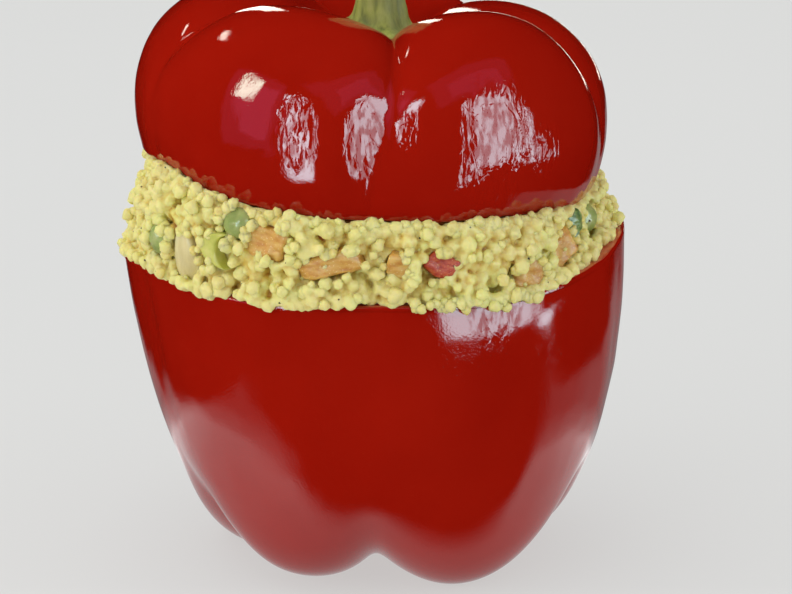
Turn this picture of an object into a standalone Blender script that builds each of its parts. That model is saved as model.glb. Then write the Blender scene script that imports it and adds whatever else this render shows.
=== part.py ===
"""Stuffed bell pepper, standing upright: a red pepper cut across under its shoulder, its cup heaped
with couscous and diced vegetables, and its stemmed lid set back on the heap, leaning a little.

Metres, +Z up. The cup's feet stand on Z = 0, its axis is the Z axis, and the front of the pepper,
where two lobes meet in a groove, faces -Y. Azimuths are in degrees from the front, growing towards +X.
"""

import math

import bmesh
import bpy
from mathutils import Euler, Matrix, Vector, noise

# The pepper as a whole.
SEGMENTS = 48  # steps round every turned piece
CUP_STEPS = 14  # steps up the outside of the cup
LID_STEPS = 16  # steps up the outside of the lid
HOLLOW_STEPS = 5  # steps up the inside of the cup and of the lid, and up the filling that fits them
GAP = 0.0003  # left between pieces that touch
WALL = 0.0062  # flesh and skin together
CUP_GROOVES = (-4.5, 75.0, 146.0, 220.0, 294.0)  # azimuths of the grooves between the cup's five lobes
LID_GROOVES = (4.5, 75.0, 146.0, 220.0, 294.0)  # the lid is set back on a little turned, and not quite round
LOBE_ROUNDNESS = 0.55  # below 1, the lobes are broad and the grooves between them narrow, where they are crisp
CUP_CRISPNESS = 0.4  # 0 where the lobes meet in wide soft valleys, 1 where they meet in narrow grooves
LID_CRISP_HEIGHT = 0.024  # the lid's valleys grow from soft at its cut to crisp this high up
SKIN_RED = (0.50, 0.012, 0.008)

# The cup: (radius, height) along its outside, over the middle of a lobe and down a groove.
CUP_HEIGHT = 0.0585
CUP_LOBE = (
    (0.0000, 0.0075), (0.0090, 0.0060), (0.0160, 0.0015), (0.0225, 0.0000), (0.0290, 0.0028),
    (0.0338, 0.0086), (0.0375, 0.0180), (0.0407, 0.0280), (0.0430, 0.0390), (0.0449, CUP_HEIGHT),
)
CUP_GROOVE = (
    (0.0000, 0.0078), (0.0090, 0.0080), (0.0155, 0.0078), (0.0215, 0.0076), (0.0268, 0.0100),
    (0.0325, 0.0145), (0.0372, 0.0205), (0.0404, 0.0290), (0.0421, 0.0392), (0.0437, CUP_HEIGHT),
)
CUP_LOBE_SIZES = (1.0, 1.2, 1.0, 1.2, 1.15)  # how full each lobe of the cup is, from the front groove round
CUP_SHIFT = 0.0020  # how far its base stands to +X of its rim
CUP_FOOT_LIFTS = ((328.0, 26.0, 0.0025),)  # feet that clear the floor: azimuth, spread, height
CUP_FOOT_REACH = (0.015, 0.02)  # such a foot lifts from this radius out, and up to this height
FOOT_FLAT = 0.0006  # how much of each foot the floor has pressed flat
CUP_FLOOR = 0.0135  # height of the hollow's lowest point
HOLLOW_SQUARENESS = 0.65  # below 1, the hollow is fuller low down than an oval
RIM_SLOPE_X = 0.055  # the cut climbs towards +X
RIM_LIFTS = ((-60.0, 30.0, 0.0024), (36.0, 30.0, -0.0019))  # waves in the cut: azimuth, spread, height
RIM_CURLS = ((32.0, 26.0, 0.0011), (356.0, 18.0, 0.0005))  # where the skin rolls inwards: azimuth, spread, how far
RIM_CURL_REACH = 0.0065  # how far down from the cut it rolls

# The lid, in its own frame: its cut face lies on its Z = 0.
LID_PLACE = (-0.0019, 0.0, 0.0699)
LID_LEAN = Euler((0.0, math.radians(7.0), 0.0))
LID_LOBE = (
    (0.0388, 0.0000), (0.0411, 0.0060), (0.0421, 0.0130), (0.0410, 0.0200), (0.0374, 0.0262),
    (0.0315, 0.0308), (0.0243, 0.0322), (0.0165, 0.0300), (0.0100, 0.0252), (0.0055, 0.0225),
    (0.0000, 0.0220),
)
LID_GROOVE = (
    (0.0386, 0.0000), (0.0406, 0.0060), (0.0410, 0.0125), (0.0390, 0.0188), (0.0343, 0.0238),
    (0.0282, 0.0267), (0.0220, 0.0274), (0.0160, 0.0261), (0.0100, 0.0238), (0.0055, 0.0221),
    (0.0000, 0.0218),
)
LID_LOBE_SIZES = (1.45, 0.85, 0.9, 0.72, 0.85)  # how full the lid's lobes are, in the same order
LID_EDGE_LIFTS = (  # waves in its cut: azimuth, spread, height
    (42.0, 32.0, 0.0028), (302.0, 18.0, 0.0020), (0.0, 50.0, 0.0010),
)
LID_EDGE_FADE = 0.02  # height over which those waves die away
LID_FLARES = ((2.0, 58.0, 0.0036),)  # where the skin stands out above the cut: azimuth, spread, how far
# The valley in the lid's front is a V. At each height above the cut: where its bottom lies, how deep it is,
# and how far it reaches to its left and to its right, in degrees.
VALLEY_AZIMUTHS = ((0.010, 0.4), (0.024, 2.6))
VALLEY_DEPTHS = ((0.0, 0.0011), (0.006, 0.0019), (0.012, 0.0023), (0.019, 0.0023), (0.030, 0.0009), (0.034, 0.0))
VALLEY_LEFT = 8.5
VALLEY_RIGHT = 24.0
VALLEY_ROUNDING = 1.6  # degrees over which its bottom is rounded
VALLEY_SOFTNESS = 0.12  # how softly its sides run out, as a share of how far they reach
VALLEY_INNER = 0.022  # radius below which it fades out towards the pit
LID_HOLLOW = (
    (0.0000, 0.0165), (0.0120, 0.0172), (0.0220, 0.0165), (0.0285, 0.0130), (0.0322, 0.0065),
    (0.0326, 0.0000),
)

# The heap of couscous that fills the cup, swells out of the gap and carries the lid.
HEAP_RINGS = 7  # steps up its free face
HEAP_SETBACK = 0.0005  # its lower edge stands this far in from the rim's outer edge
HEAP_BULGE = 0.0026  # how far it swells past a straight line from the rim to the lid
HEAP_SWELLS = (  # where it swells less: azimuth, spread, change
    (88.0, 38.0, -0.0026), (0.0, 45.0, -0.0014), (268.0, 26.0, -0.0014),
)
HEAP_SHOULDER = 1.4  # above 1, it swells most above the middle
HEAP_LUMPS = 0.0014
LUMP_SPACING = 0.0075
HEAP_BANK = 0.0004  # how far it climbs the lid's skin
HEAP_BANKS = ((96.0, 24.0, 0.0042),)  # where it climbs higher: azimuth, spread, height
COUSCOUS_YELLOW = (0.72, 0.60, 0.20)

# The stem, in the lid's frame: (radius, height) up its outside, with the calyx low down.
STEM = (
    (0.0000, 0.0226), (0.0050, 0.0229), (0.0078, 0.0246), (0.0078, 0.0256), (0.0055, 0.0269),
    (0.0045, 0.0292), (0.0040, 0.0335), (0.0039, 0.0390), (0.0041, 0.0440), (0.0044, 0.0472),
    (0.0036, 0.0478), (0.0000, 0.0476),
)
STEM_SIDES = 20
STEM_RIBS = 5
STEM_TURN = 18.0  # azimuth of one rib
STEM_RIB_DEPTH = 0.09  # as a share of the radius
CALYX_HEIGHT = 0.0254
CALYX_SPAN = 0.003  # the calyx's points die away this far above and below it
CALYX_POINTS = 0.20  # how much farther the calyx reaches at its points, as a share of its radius
STEM_BEND = (-0.0045, 0.0020)  # how far its top stands from its foot
STEM_GREEN = (0.30, 0.36, 0.08)

# Vegetables set in the heap's face, from the front round: azimuth, share of the way up from the rim to the
# lid, turn in the face, width and height.
PEAS = (
    (-54.3, 0.33, 0.0, 0.0066, 0.0066), (-28.8, 0.80, 0.0, 0.0058, 0.0058),
    (73.0, 0.56, 0.0, 0.0064, 0.0064), (127.0, 0.52, 0.0, 0.0060, 0.0060),
    (163.0, 0.35, 0.0, 0.0064, 0.0064), (205.0, 0.62, 0.0, 0.0068, 0.0068),
    (246.0, 0.42, 0.0, 0.0062, 0.0062),
)
CARROTS = (
    (-21.0, 0.66, 12.0, 0.0075, 0.0056), (-8.0, 0.46, -14.0, 0.0112, 0.0046),
    (6.5, 0.48, 10.0, 0.0040, 0.0036), (37.5, 0.24, 20.0, 0.0058, 0.0052),
    (50.5, 0.38, -24.0, 0.0088, 0.0056), (114.0, 0.42, 15.0, 0.0070, 0.0050),
    (150.0, 0.56, -15.0, 0.0066, 0.0048), (184.0, 0.40, 35.0, 0.0066, 0.0055),
    (226.0, 0.36, -10.0, 0.0074, 0.0060),
)
ONIONS = (
    (-45.0, 0.27, 0.0, 0.0066, 0.0084), (138.0, 0.52, 20.0, 0.0044, 0.0060),
    (256.0, 0.66, -50.0, 0.0050, 0.0080),
)
CELERY = ((-33.8, 0.48, 8.0, 0.0040, 0.0062), (174.0, 0.70, 70.0, 0.0036, 0.0066))
RED_BITS = (
    (15.6, 0.46, 35.0, 0.0046, 0.0046), (215.0, 0.30, 10.0, 0.0050, 0.0042),
    (236.0, 0.70, -40.0, 0.0050, 0.0040),
)
GREEN_BITS = ((60.5, 0.70, -15.0, 0.0046, 0.0046), (195.0, 0.36, 30.0, 0.0050, 0.0044))
PEA_PROUD = 0.0020  # how far a pea stands out of the heap's face
CUT_PROUD = 0.0012  # how far the cut pieces do
PEA_GREEN = (0.22, 0.38, 0.10)
CARROT_ORANGE = (0.78, 0.33, 0.06)
ONION_CREAM = (0.75, 0.58, 0.34)
CELERY_GREEN = (0.45, 0.55, 0.14)
BIT_RED = (0.50, 0.03, 0.02)


def direction(azimuth):
    """The level unit vector at an azimuth."""
    turn = math.radians(azimuth)
    return Vector((math.sin(turn), -math.cos(turn), 0.0))


def azimuths(count=SEGMENTS):
    return [360.0 * step / count for step in range(count)]


def smooth_curve(points, count):
    """count + 1 points, evenly spread over the spans of a Catmull-Rom curve through the given ones."""
    knots = [Vector((*p, 0.0)) for p in points]
    knots = [2 * knots[0] - knots[1], *knots, 2 * knots[-1] - knots[-2]]
    curve = []
    for step in range(count + 1):
        at = step * (len(points) - 1) / count
        span = min(int(at), len(points) - 2)
        u = at - span
        a, b, c, d = knots[span : span + 4]
        bend = u * u * (2 * a - 5 * b + 4 * c - d) + u**3 * (3 * b - a - 3 * c + d)
        point = 0.5 * (2 * b + u * (c - a) + bend)
        curve.append((point.x, point.y))
    return curve


def lobe_share(azimuth, grooves, sizes, crispness):
    """0 in a groove, and that lobe's size on its middle."""
    starts = [*grooves, grooves[0] + 360.0]
    turned = (azimuth - grooves[0]) % 360.0 + grooves[0]
    for start, end, size in zip(starts, starts[1:], sizes):
        if turned <= end:
            soft = max(0.0, math.sin(math.pi * (turned - start) / (end - start)))
            return size * (soft + crispness * (soft**LOBE_ROUNDNESS - soft))
    return 0.0


def between(groove, lobe, share):
    """The (radius, height) pair a share of the way from the groove's to the lobe's."""
    return groove[0] + share * (lobe[0] - groove[0]), groove[1] + share * (lobe[1] - groove[1])


def placed(azimuth, radius, height):
    return direction(azimuth) * radius + Vector((0.0, 0.0, height))


def lifted(azimuth, lifts):
    """The sum of smooth rises, each (azimuth, spread, height)."""
    rise = 0.0
    for centre, spread, height in lifts:
        away = (azimuth - centre + 180.0) % 360.0 - 180.0
        rise += height * math.exp(-((away / spread) ** 2))
    return rise


def rim_height(azimuth):
    edge = direction(azimuth) * CUP_LOBE[-1][0]
    return CUP_HEIGHT + RIM_SLOPE_X * edge.x + lifted(azimuth, RIM_LIFTS)


def cup_shift(height):
    """The cup's belly stands a little to +X of its rim."""
    return Vector((CUP_SHIFT * (1.0 - min(1.0, height / CUP_HEIGHT) ** 2), 0.0, 0.0))


def cup_outside(azimuth):
    """Points up the cup's skin, from the middle of its base to the cut."""
    stretch = rim_height(azimuth) / CUP_HEIGHT
    foot = lifted(azimuth, CUP_FOOT_LIFTS)
    curl = lifted(azimuth, RIM_CURLS)
    share = lobe_share(azimuth, CUP_GROOVES, CUP_LOBE_SIZES, CUP_CRISPNESS)
    points = []
    for groove, lobe in zip(smooth_curve(CUP_GROOVE, CUP_STEPS), smooth_curve(CUP_LOBE, CUP_STEPS)):
        r, z = between(groove, lobe, share)
        r -= curl * max(0.0, 1.0 - (CUP_HEIGHT - z) / RIM_CURL_REACH) ** 2
        lift = foot * min(1.0, r / CUP_FOOT_REACH[0]) * max(0.0, 1.0 - z / CUP_FOOT_REACH[1])
        height = max(0.0, z * stretch + lift - FOOT_FLAT)
        points.append(placed(azimuth, r, height) + cup_shift(z))
    return points


def cup_inside(azimuth, inset=0.0):
    """Points up the hollow, from its floor to the cut, moved in by inset."""
    rim = rim_height(azimuth) - FOOT_FLAT
    share = lobe_share(azimuth, CUP_GROOVES, CUP_LOBE_SIZES, CUP_CRISPNESS)
    radius = between(CUP_GROOVE[-1], CUP_LOBE[-1], share)[0]
    floor = CUP_FLOOR + inset
    points = []
    for step in range(HOLLOW_STEPS + 1):
        # A quarter of an oval, squared off so that the wall stays even down to the feet.
        turn = 0.5 * math.pi * step / HOLLOW_STEPS
        height = floor + (rim - floor) * (1.0 - math.cos(turn))
        out = (radius - WALL - inset) * math.sin(turn) ** HOLLOW_SQUARENESS
        points.append(placed(azimuth, out, height) + cup_shift(height))
    return points


def rings_object(name, rings, colour, roughness):
    """A closed solid from rings of points, the first and the last of which are single points."""
    points = [rings[0][0]]
    for ring in rings[1:-1]:
        points.extend(ring)
    points.append(rings[-1][0])
    count = len(rings[1])
    faces = []
    for i in range(count):
        j = (i + 1) % count
        faces.append((0, 1 + j, 1 + i))
        for level in range(len(rings) - 3):
            low = 1 + level * count
            faces.append((low + i, low + j, low + count + j, low + count + i))
        top = 1 + (len(rings) - 3) * count
        faces.append((top + i, top + j, len(points) - 1))
    mesh = bpy.data.meshes.new(name)
    mesh.from_pydata([tuple(p) for p in points], [], faces)
    mesh.validate()
    mesh.shade_smooth()
    mesh.set_sharp_from_angle(angle=math.radians(50))
    obj = bpy.data.objects.new(name, mesh)
    bpy.context.scene.collection.objects.link(obj)
    mesh.materials.append(food_material(name, colour, roughness))
    return obj


def food_material(name, colour, roughness):
    material = bpy.data.materials.new(name)
    material.use_nodes = True
    shader = material.node_tree.nodes["Principled BSDF"]
    shader.inputs["Base Color"].default_value = (*colour, 1.0)
    shader.inputs["Roughness"].default_value = roughness
    shader.inputs["Metallic"].default_value = 0.0
    return material


def across(columns):
    """Turns one list of points for each azimuth into one ring for each level."""
    return [list(ring) for ring in zip(*columns)]


def make_cup():
    columns = [cup_outside(a) + cup_inside(a)[::-1] for a in azimuths()]
    return rings_object("pepper_cup", across(columns), SKIN_RED, 0.2)


def lid_matrix():
    return Matrix.Translation(LID_PLACE) @ LID_LEAN.to_matrix().to_4x4()


def along(points, place):
    """The value at a place on the straight lines through (place, value) points."""
    if place <= points[0][0]:
        return points[0][1]
    for (low, first), (high, second) in zip(points, points[1:]):
        if place <= high:
            return first + (second - first) * (place - low) / (high - low)
    return points[-1][1]


def valley_depth(azimuth, radius, height):
    side = (azimuth - along(VALLEY_AZIMUTHS, height) + 180.0) % 360.0 - 180.0
    away = math.hypot(side, VALLEY_ROUNDING) / (VALLEY_RIGHT if side > 0.0 else VALLEY_LEFT)
    share = VALLEY_SOFTNESS * math.log1p(math.exp((1.0 - away) / VALLEY_SOFTNESS))
    return share * along(VALLEY_DEPTHS, height) * min(1.0, radius / VALLEY_INNER) ** 3


def lid_outside(azimuth):
    """Points up the lid's skin in its own frame, from the cut to the pit that the stem stands in."""
    rise = lifted(azimuth, LID_EDGE_LIFTS)
    flare = lifted(azimuth, LID_FLARES)
    points = []
    for groove, lobe in zip(smooth_curve(LID_GROOVE, LID_STEPS), smooth_curve(LID_LOBE, LID_STEPS)):
        crispness = min(1.0, lobe[1] / LID_CRISP_HEIGHT)
        r, z = between(groove, lobe, lobe_share(azimuth, LID_GROOVES, LID_LOBE_SIZES, crispness))
        low = max(0.0, 1.0 - z / LID_EDGE_FADE)
        r += flare * low**2 - valley_depth(azimuth, r, z)
        points.append(placed(azimuth, r, z + rise * low))
    return points


def lid_inside(azimuth, inset=0.0):
    """Points down the lid's hollow in its own frame, from its middle to the cut, moved in by inset."""
    rise = lifted(azimuth, LID_EDGE_LIFTS)
    return [
        placed(azimuth, max(0.0, r - inset), z - inset + rise * max(0.0, 1.0 - z / LID_EDGE_FADE))
        for r, z in smooth_curve(LID_HOLLOW, HOLLOW_STEPS)
    ]


def make_lid():
    columns = [lid_inside(a) + lid_outside(a) for a in azimuths()]
    lid = rings_object("pepper_lid", across(columns), SKIN_RED, 0.2)
    lid.location = LID_PLACE
    lid.rotation_euler = LID_LEAN
    return lid


def lid_skirt(azimuth, above):
    """The point just outside the lid's skin, a height above its cut, in the lid's frame."""
    skin = lid_outside(azimuth)
    height = skin[0].z + above
    for low, high in zip(skin, skin[1:]):
        if high.z >= height:
            return low.lerp(high, (height - low.z) / (high.z - low.z)) + direction(azimuth) * GAP
    return skin[-1]


def heap_face(azimuth):
    """Points up the heap's free face, from just inside the rim's outer edge to the lid's skin."""
    out = direction(azimuth)
    low = cup_outside(azimuth)[-1] - out * HEAP_SETBACK + Vector((0.0, 0.0, GAP))
    high = lid_matrix() @ lid_skirt(azimuth, HEAP_BANK + lifted(azimuth, HEAP_BANKS))
    points = []
    for step in range(HEAP_RINGS + 1):
        share = step / HEAP_RINGS
        point = low.lerp(high, share)
        swell = (HEAP_BULGE + lifted(azimuth, HEAP_SWELLS)) * math.sin(math.pi * share**HEAP_SHOULDER)
        lump = HEAP_LUMPS * noise.noise(point / LUMP_SPACING) * math.sin(math.pi * share) ** 0.5
        points.append(point + out * (swell + lump))
    return points


def make_filling():
    into_world = lid_matrix()
    columns = []
    for azimuth in azimuths():
        in_cup = cup_inside(azimuth, GAP)
        in_cup[-1].z += GAP
        hollow = lid_inside(azimuth, GAP)[::-1]
        corner = lid_outside(azimuth)[0] - Vector((0.0, 0.0, GAP))
        under_lid = [into_world @ point for point in [corner, *hollow]]
        columns.append(in_cup + heap_face(azimuth) + under_lid)
    return rings_object("filling", across(columns), COUSCOUS_YELLOW, 0.6)


def make_stem():
    height = STEM[-1][1] - STEM[0][1]
    columns = []
    for turn in azimuths(STEM_SIDES):
        column = []
        for radius, z in STEM:
            rise = (z - STEM[0][1]) / height
            calyx = max(0.0, 1.0 - abs(z - CALYX_HEIGHT) / CALYX_SPAN)
            wave = STEM_RIB_DEPTH * (1.0 - calyx) + CALYX_POINTS * calyx
            ribbed = radius * (1.0 + wave * math.cos(math.radians((turn - STEM_TURN) * STEM_RIBS)))
            bend = Vector((STEM_BEND[0], STEM_BEND[1], 0.0)) * rise**1.3
            column.append(placed(turn, ribbed, z) + bend)
        columns.append(column)
    stem = rings_object("stem", across(columns), STEM_GREEN, 0.5)
    stem.location = LID_PLACE
    stem.rotation_euler = LID_LEAN
    return stem


def slab(outline, depth, bevel):
    """A bmesh plate with the outline in its X and Z, its depth along Y and its edges bevelled."""
    bm = bmesh.new()
    face = bm.faces.new([bm.verts.new((x, -0.5 * depth, z)) for x, z in outline])
    extruded = bmesh.ops.extrude_face_region(bm, geom=[face])
    moved = [item for item in extruded["geom"] if isinstance(item, bmesh.types.BMVert)]
    bmesh.ops.translate(bm, verts=moved, vec=(0.0, depth, 0.0))
    bmesh.ops.recalc_face_normals(bm, faces=bm.faces)
    bmesh.ops.bevel(bm, geom=bm.edges[:], offset=bevel, segments=1, affect="EDGES")
    return bm


def pea_shape(width, _height):
    bm = bmesh.new()
    bmesh.ops.create_icosphere(bm, subdivisions=2, radius=0.5 * width)
    return bm


def dice_shape(width, height):
    """A block of vegetable as a knife leaves it, with no two corners alike."""
    side = 0.5 * width
    rise = 0.5 * height
    outline = ((-side, -rise), (0.85 * side, -rise), (side, 0.8 * rise), (-0.8 * side, rise))
    return slab(outline, 0.9 * height, 0.15 * height)


def onion_shape(width, height):
    """A piece of one layer, pointed at its upper end."""
    side = 0.5 * width
    rise = 0.5 * height
    foot = ((-0.8 * side, -rise), (0.9 * side, -0.85 * rise), (side, 0.1 * rise))
    outline = (*foot, (0.2 * side, rise), (-side, 0.2 * rise))
    return slab(outline, 0.5 * width, 0.12 * width)


def celery_shape(width, height):
    """A half moon: a slice across a thin stalk."""
    turns = [math.radians(180.0 * step / 6) for step in range(7)]
    outline = [(width * (0.5 - math.sin(turn)), 0.5 * height * math.cos(turn)) for turn in turns]
    return slab(outline, 0.8 * width, 0.12 * width)


def spot_on_heap(azimuth, share):
    """The point of the heap's face at a share of the way up."""
    face = heap_face(azimuth)
    low = min(int(share * HEAP_RINGS), HEAP_RINGS - 1)
    return face[low].lerp(face[low + 1], share * HEAP_RINGS - low)


def object_from(name, bm, centre, turn, azimuth):
    """Puts a bmesh in the scene with its -Y side facing out at an azimuth."""
    mesh = bpy.data.meshes.new(name)
    bm.to_mesh(mesh)
    mesh.shade_smooth()
    mesh.set_sharp_from_angle(angle=math.radians(40))
    obj = bpy.data.objects.new(name, mesh)
    obj.location = centre
    obj.rotation_euler = (0.0, math.radians(turn), math.radians(azimuth))
    bpy.context.scene.collection.objects.link(obj)
    return obj


def set_in_heap(name, bm, spot, proud, colour, filling):
    """Makes a piece of vegetable stand a little proud of the heap's face, in a pocket cut to fit it."""
    azimuth, share, turn = spot[:3]
    half_depth = max(vert.co.y for vert in bm.verts)
    centre = spot_on_heap(azimuth, share) - direction(azimuth) * (half_depth - proud)
    piece = object_from(name, bm, centre, turn, azimuth)
    piece.data.materials.append(food_material(name, colour, 0.35))
    for vert in bm.verts:
        vert.co += vert.co.normalized() * 2.0 * GAP
    pocket = object_from(name + "_pocket", bm, centre, turn, azimuth)
    pocket.hide_render = True
    pocket.display_type = "WIRE"
    bm.free()
    cut = filling.modifiers.new(name, "BOOLEAN")
    cut.object = pocket
    cut.operation = "DIFFERENCE"
    cut.solver = "EXACT"


def make_vegetables(filling):
    kinds = (
        ("pea", PEAS, pea_shape, PEA_PROUD, PEA_GREEN),
        ("carrot", CARROTS, dice_shape, CUT_PROUD, CARROT_ORANGE),
        ("onion", ONIONS, onion_shape, CUT_PROUD, ONION_CREAM),
        ("celery", CELERY, celery_shape, CUT_PROUD, CELERY_GREEN),
        ("red_bit", RED_BITS, dice_shape, CUT_PROUD, BIT_RED),
        ("green_bit", GREEN_BITS, dice_shape, CUT_PROUD, PEA_GREEN),
    )
    for kind, spots, shape, proud, colour in kinds:
        for number, spot in enumerate(spots, 1):
            set_in_heap(f"{kind}_{number}", shape(*spot[3:]), spot, proud, colour, filling)


def main():
    for obj in list(bpy.data.objects):
        bpy.data.objects.remove(obj)
    make_cup()
    make_lid()
    make_stem()
    make_vegetables(make_filling())


main()
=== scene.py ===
"""Stuffed bell pepper: a scooped red pepper, heaped with couscous and diced vegetables, under its own lid.

Metres, +Z up, front towards -Y. Azimuths are in degrees from the front, growing towards +X.
"""

import math

import bmesh
import bpy
import numpy as np
from mathutils import Euler, Matrix, Vector, noise
from mathutils.bvhtree import BVHTree
from mathutils.kdtree import KDTree


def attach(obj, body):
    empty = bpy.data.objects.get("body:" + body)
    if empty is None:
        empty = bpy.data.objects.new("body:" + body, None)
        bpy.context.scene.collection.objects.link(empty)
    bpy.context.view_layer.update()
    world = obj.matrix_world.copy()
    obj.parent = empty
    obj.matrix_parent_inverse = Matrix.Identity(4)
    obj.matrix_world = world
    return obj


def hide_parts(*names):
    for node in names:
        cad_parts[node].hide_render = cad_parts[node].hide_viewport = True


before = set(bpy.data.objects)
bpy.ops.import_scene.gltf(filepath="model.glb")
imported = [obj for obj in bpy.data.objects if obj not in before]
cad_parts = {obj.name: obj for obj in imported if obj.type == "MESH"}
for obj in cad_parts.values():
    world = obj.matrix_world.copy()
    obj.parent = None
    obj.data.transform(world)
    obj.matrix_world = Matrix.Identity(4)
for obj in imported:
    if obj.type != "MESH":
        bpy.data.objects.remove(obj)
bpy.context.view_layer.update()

# ---------------------------------------------------------------------------------------------------------
# The cup: the lower part of a ripe red pepper, cut across under its shoulder and scooped out. The skin is
# thin, tight and wet with oil; under it lie six millimetres of juicy flesh, which show only on the cut.
# It stands on the ends of its lobes, four of them pressed a little flat.
# ---------------------------------------------------------------------------------------------------------
COLUMNS = 384  # steps round the cup and round the lid
SKIN_ROWS = 96  # steps up the skin of each
CUP_GROOVES = (-4.5, 75.0, 146.0, 220.0, 294.0)  # azimuths of the grooves between the cup's five lobes
CUP_CRISPNESS = 0.4  # 0 where the lobes meet in wide soft valleys, 1 where they meet in narrow grooves
LOBE_ROUNDNESS = 0.55
CUP_HEIGHT = 0.0585
CUP_LOBE = (
    (0.0000, 0.0075), (0.0090, 0.0060), (0.0160, 0.0015), (0.0225, 0.0000), (0.0290, 0.0028),
    (0.0338, 0.0086), (0.0375, 0.0180), (0.0407, 0.0280), (0.0430, 0.0390), (0.0449, CUP_HEIGHT),
)
CUP_GROOVE = (
    (0.0000, 0.0078), (0.0090, 0.0080), (0.0155, 0.0078), (0.0215, 0.0076), (0.0268, 0.0100),
    (0.0325, 0.0145), (0.0372, 0.0205), (0.0404, 0.0290), (0.0421, 0.0392), (0.0437, CUP_HEIGHT),
)
CUP_LOBE_SIZES = (1.0, 1.2, 1.0, 1.2, 1.15)
CUP_SHIFT = 0.0020  # how far the base stands to +X of the rim
FOOT_LIFT = ((328.0, 26.0, 0.0025),)  # the foot that clears the floor: azimuth, spread, height
FOOT_REACH = (0.015, 0.02)
FOOT_FLAT = 0.0006
RIM_SLOPE_X = 0.055
RIM_LIFTS = ((-60.0, 30.0, 0.0024), (36.0, 30.0, -0.0019))
RIM_CURLS = ((32.0, 26.0, 0.0011), (356.0, 18.0, 0.0005))  # where the skin rolls in: azimuth, spread, depth
RIM_CURL_REACH = 0.0065  # how far down from the cut it rolls
WALL = 0.0062
CUP_FLOOR = 0.0135
LIP = 0.0005  # how far the cut edges are rounded
CALM_FOOT = 0.010  # below this height the skin keeps its plain shape, so the feet stay flat
CUP_CRAZED = (((0.0200, -0.0385, 0.0590), 0.0050),)  # where its oil has dried unevenly: middle, reach
CUP_PITS = 0.6  # how strongly its oil is pitted
HOLLOW_ROWS = 10
CUT_RELIEF = (0.00022, 0.0035)  # how uneven the knife left the cup's cut: height, spread


def direction(azimuth):
    turn = math.radians(azimuth)
    return np.array((math.sin(turn), -math.cos(turn), 0.0))


def smooth_curve(points, count):
    """count + 1 points, evenly spread over the spans of a Catmull-Rom curve through the given ones."""
    knots = np.array(points)
    knots = np.vstack((2 * knots[0] - knots[1], knots, 2 * knots[-1] - knots[-2]))
    at = np.linspace(0, len(points) - 1, count + 1)
    span = np.minimum(at.astype(int), len(points) - 2)
    u = (at - span)[:, None]
    a, b, c, d = (knots[span + step] for step in range(4))
    return 0.5 * (2 * b + u * (c - a) + u**2 * (2 * a - 5 * b + 4 * c - d) + u**3 * (3 * b - a - 3 * c + d))


def even_steps(curve, count):
    """The same curve at count + 1 points that are equally far apart along it."""
    steps = np.linalg.norm(np.diff(curve, axis=0), axis=1)
    gone = np.concatenate(((0.0,), np.cumsum(steps)))
    at = np.linspace(0.0, gone[-1], count + 1)
    return np.stack([np.interp(at, gone, curve[:, axis]) for axis in range(curve.shape[1])], axis=1)


def lobe_fullness(grooves, sizes, crispness, softness):
    """How full the pepper is at each quarter of a degree: 0 in a groove, a lobe's size on its middle. The
    bottoms of the grooves are rounded over softness, in degrees."""
    starts = np.array([*grooves, grooves[0] + 360.0])
    turned = (np.arange(1440) / 4 - starts[0]) % 360.0 + starts[0]
    lobe = np.minimum(np.searchsorted(starts, turned, side="right") - 1, len(sizes) - 1)
    soft = np.maximum(0.0, np.sin(math.pi * (turned - starts[lobe]) / (starts[lobe + 1] - starts[lobe])))
    full = np.array(sizes)[lobe] * (soft + crispness * (soft**LOBE_ROUNDNESS - soft))
    reach = np.arange(-48, 49)
    weights = np.exp(-((reach / 4 / softness) ** 2))
    return sum(w * np.roll(full, r) for w, r in zip(weights / weights.sum(), reach))


def at_azimuth(table, azimuth):
    return float(np.interp(azimuth % 360.0, np.arange(1441) / 4, np.append(table, table[0])))


def lifted(azimuth, lifts):
    """The sum of smooth rises, each (azimuth, spread, height)."""
    rise = 0.0
    for centre, spread, height in lifts:
        away = (azimuth - centre + 180.0) % 360.0 - 180.0
        rise += height * math.exp(-((away / spread) ** 2))
    return rise


def rim_height(azimuth):
    edge = direction(azimuth) * CUP_LOBE[-1][0]
    return CUP_HEIGHT + RIM_SLOPE_X * edge[0] + lifted(azimuth, RIM_LIFTS)


cup_lobe_curve = smooth_curve(CUP_LOBE, 360)
cup_groove_curve = smooth_curve(CUP_GROOVE, 360)
cup_fullness = lobe_fullness(CUP_GROOVES, CUP_LOBE_SIZES, CUP_CRISPNESS, 4.0)


def cup_skin(azimuth, rows=SKIN_ROWS):
    """Points up the cup's skin, from the middle of its base to the cut."""
    full = at_azimuth(cup_fullness, azimuth)
    radius, height = (cup_groove_curve + full * (cup_lobe_curve - cup_groove_curve)).T
    lift = lifted(azimuth, FOOT_LIFT) * np.minimum(1.0, radius / FOOT_REACH[0])
    lift = lift * np.maximum(0.0, 1.0 - height / FOOT_REACH[1])
    stood = np.maximum(0.0, height * rim_height(azimuth) / CUP_HEIGHT + lift - FOOT_FLAT)
    near_cut = np.maximum(0.0, 1.0 - (CUP_HEIGHT - height) / RIM_CURL_REACH)
    radius = radius - lifted(azimuth, RIM_CURLS) * near_cut**2
    points = radius[:, None] * direction(azimuth)
    points[:, 0] += CUP_SHIFT * (1.0 - np.minimum(1.0, height / CUP_HEIGHT) ** 2)
    points[:, 2] = stood
    return even_steps(points, rows)


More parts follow.
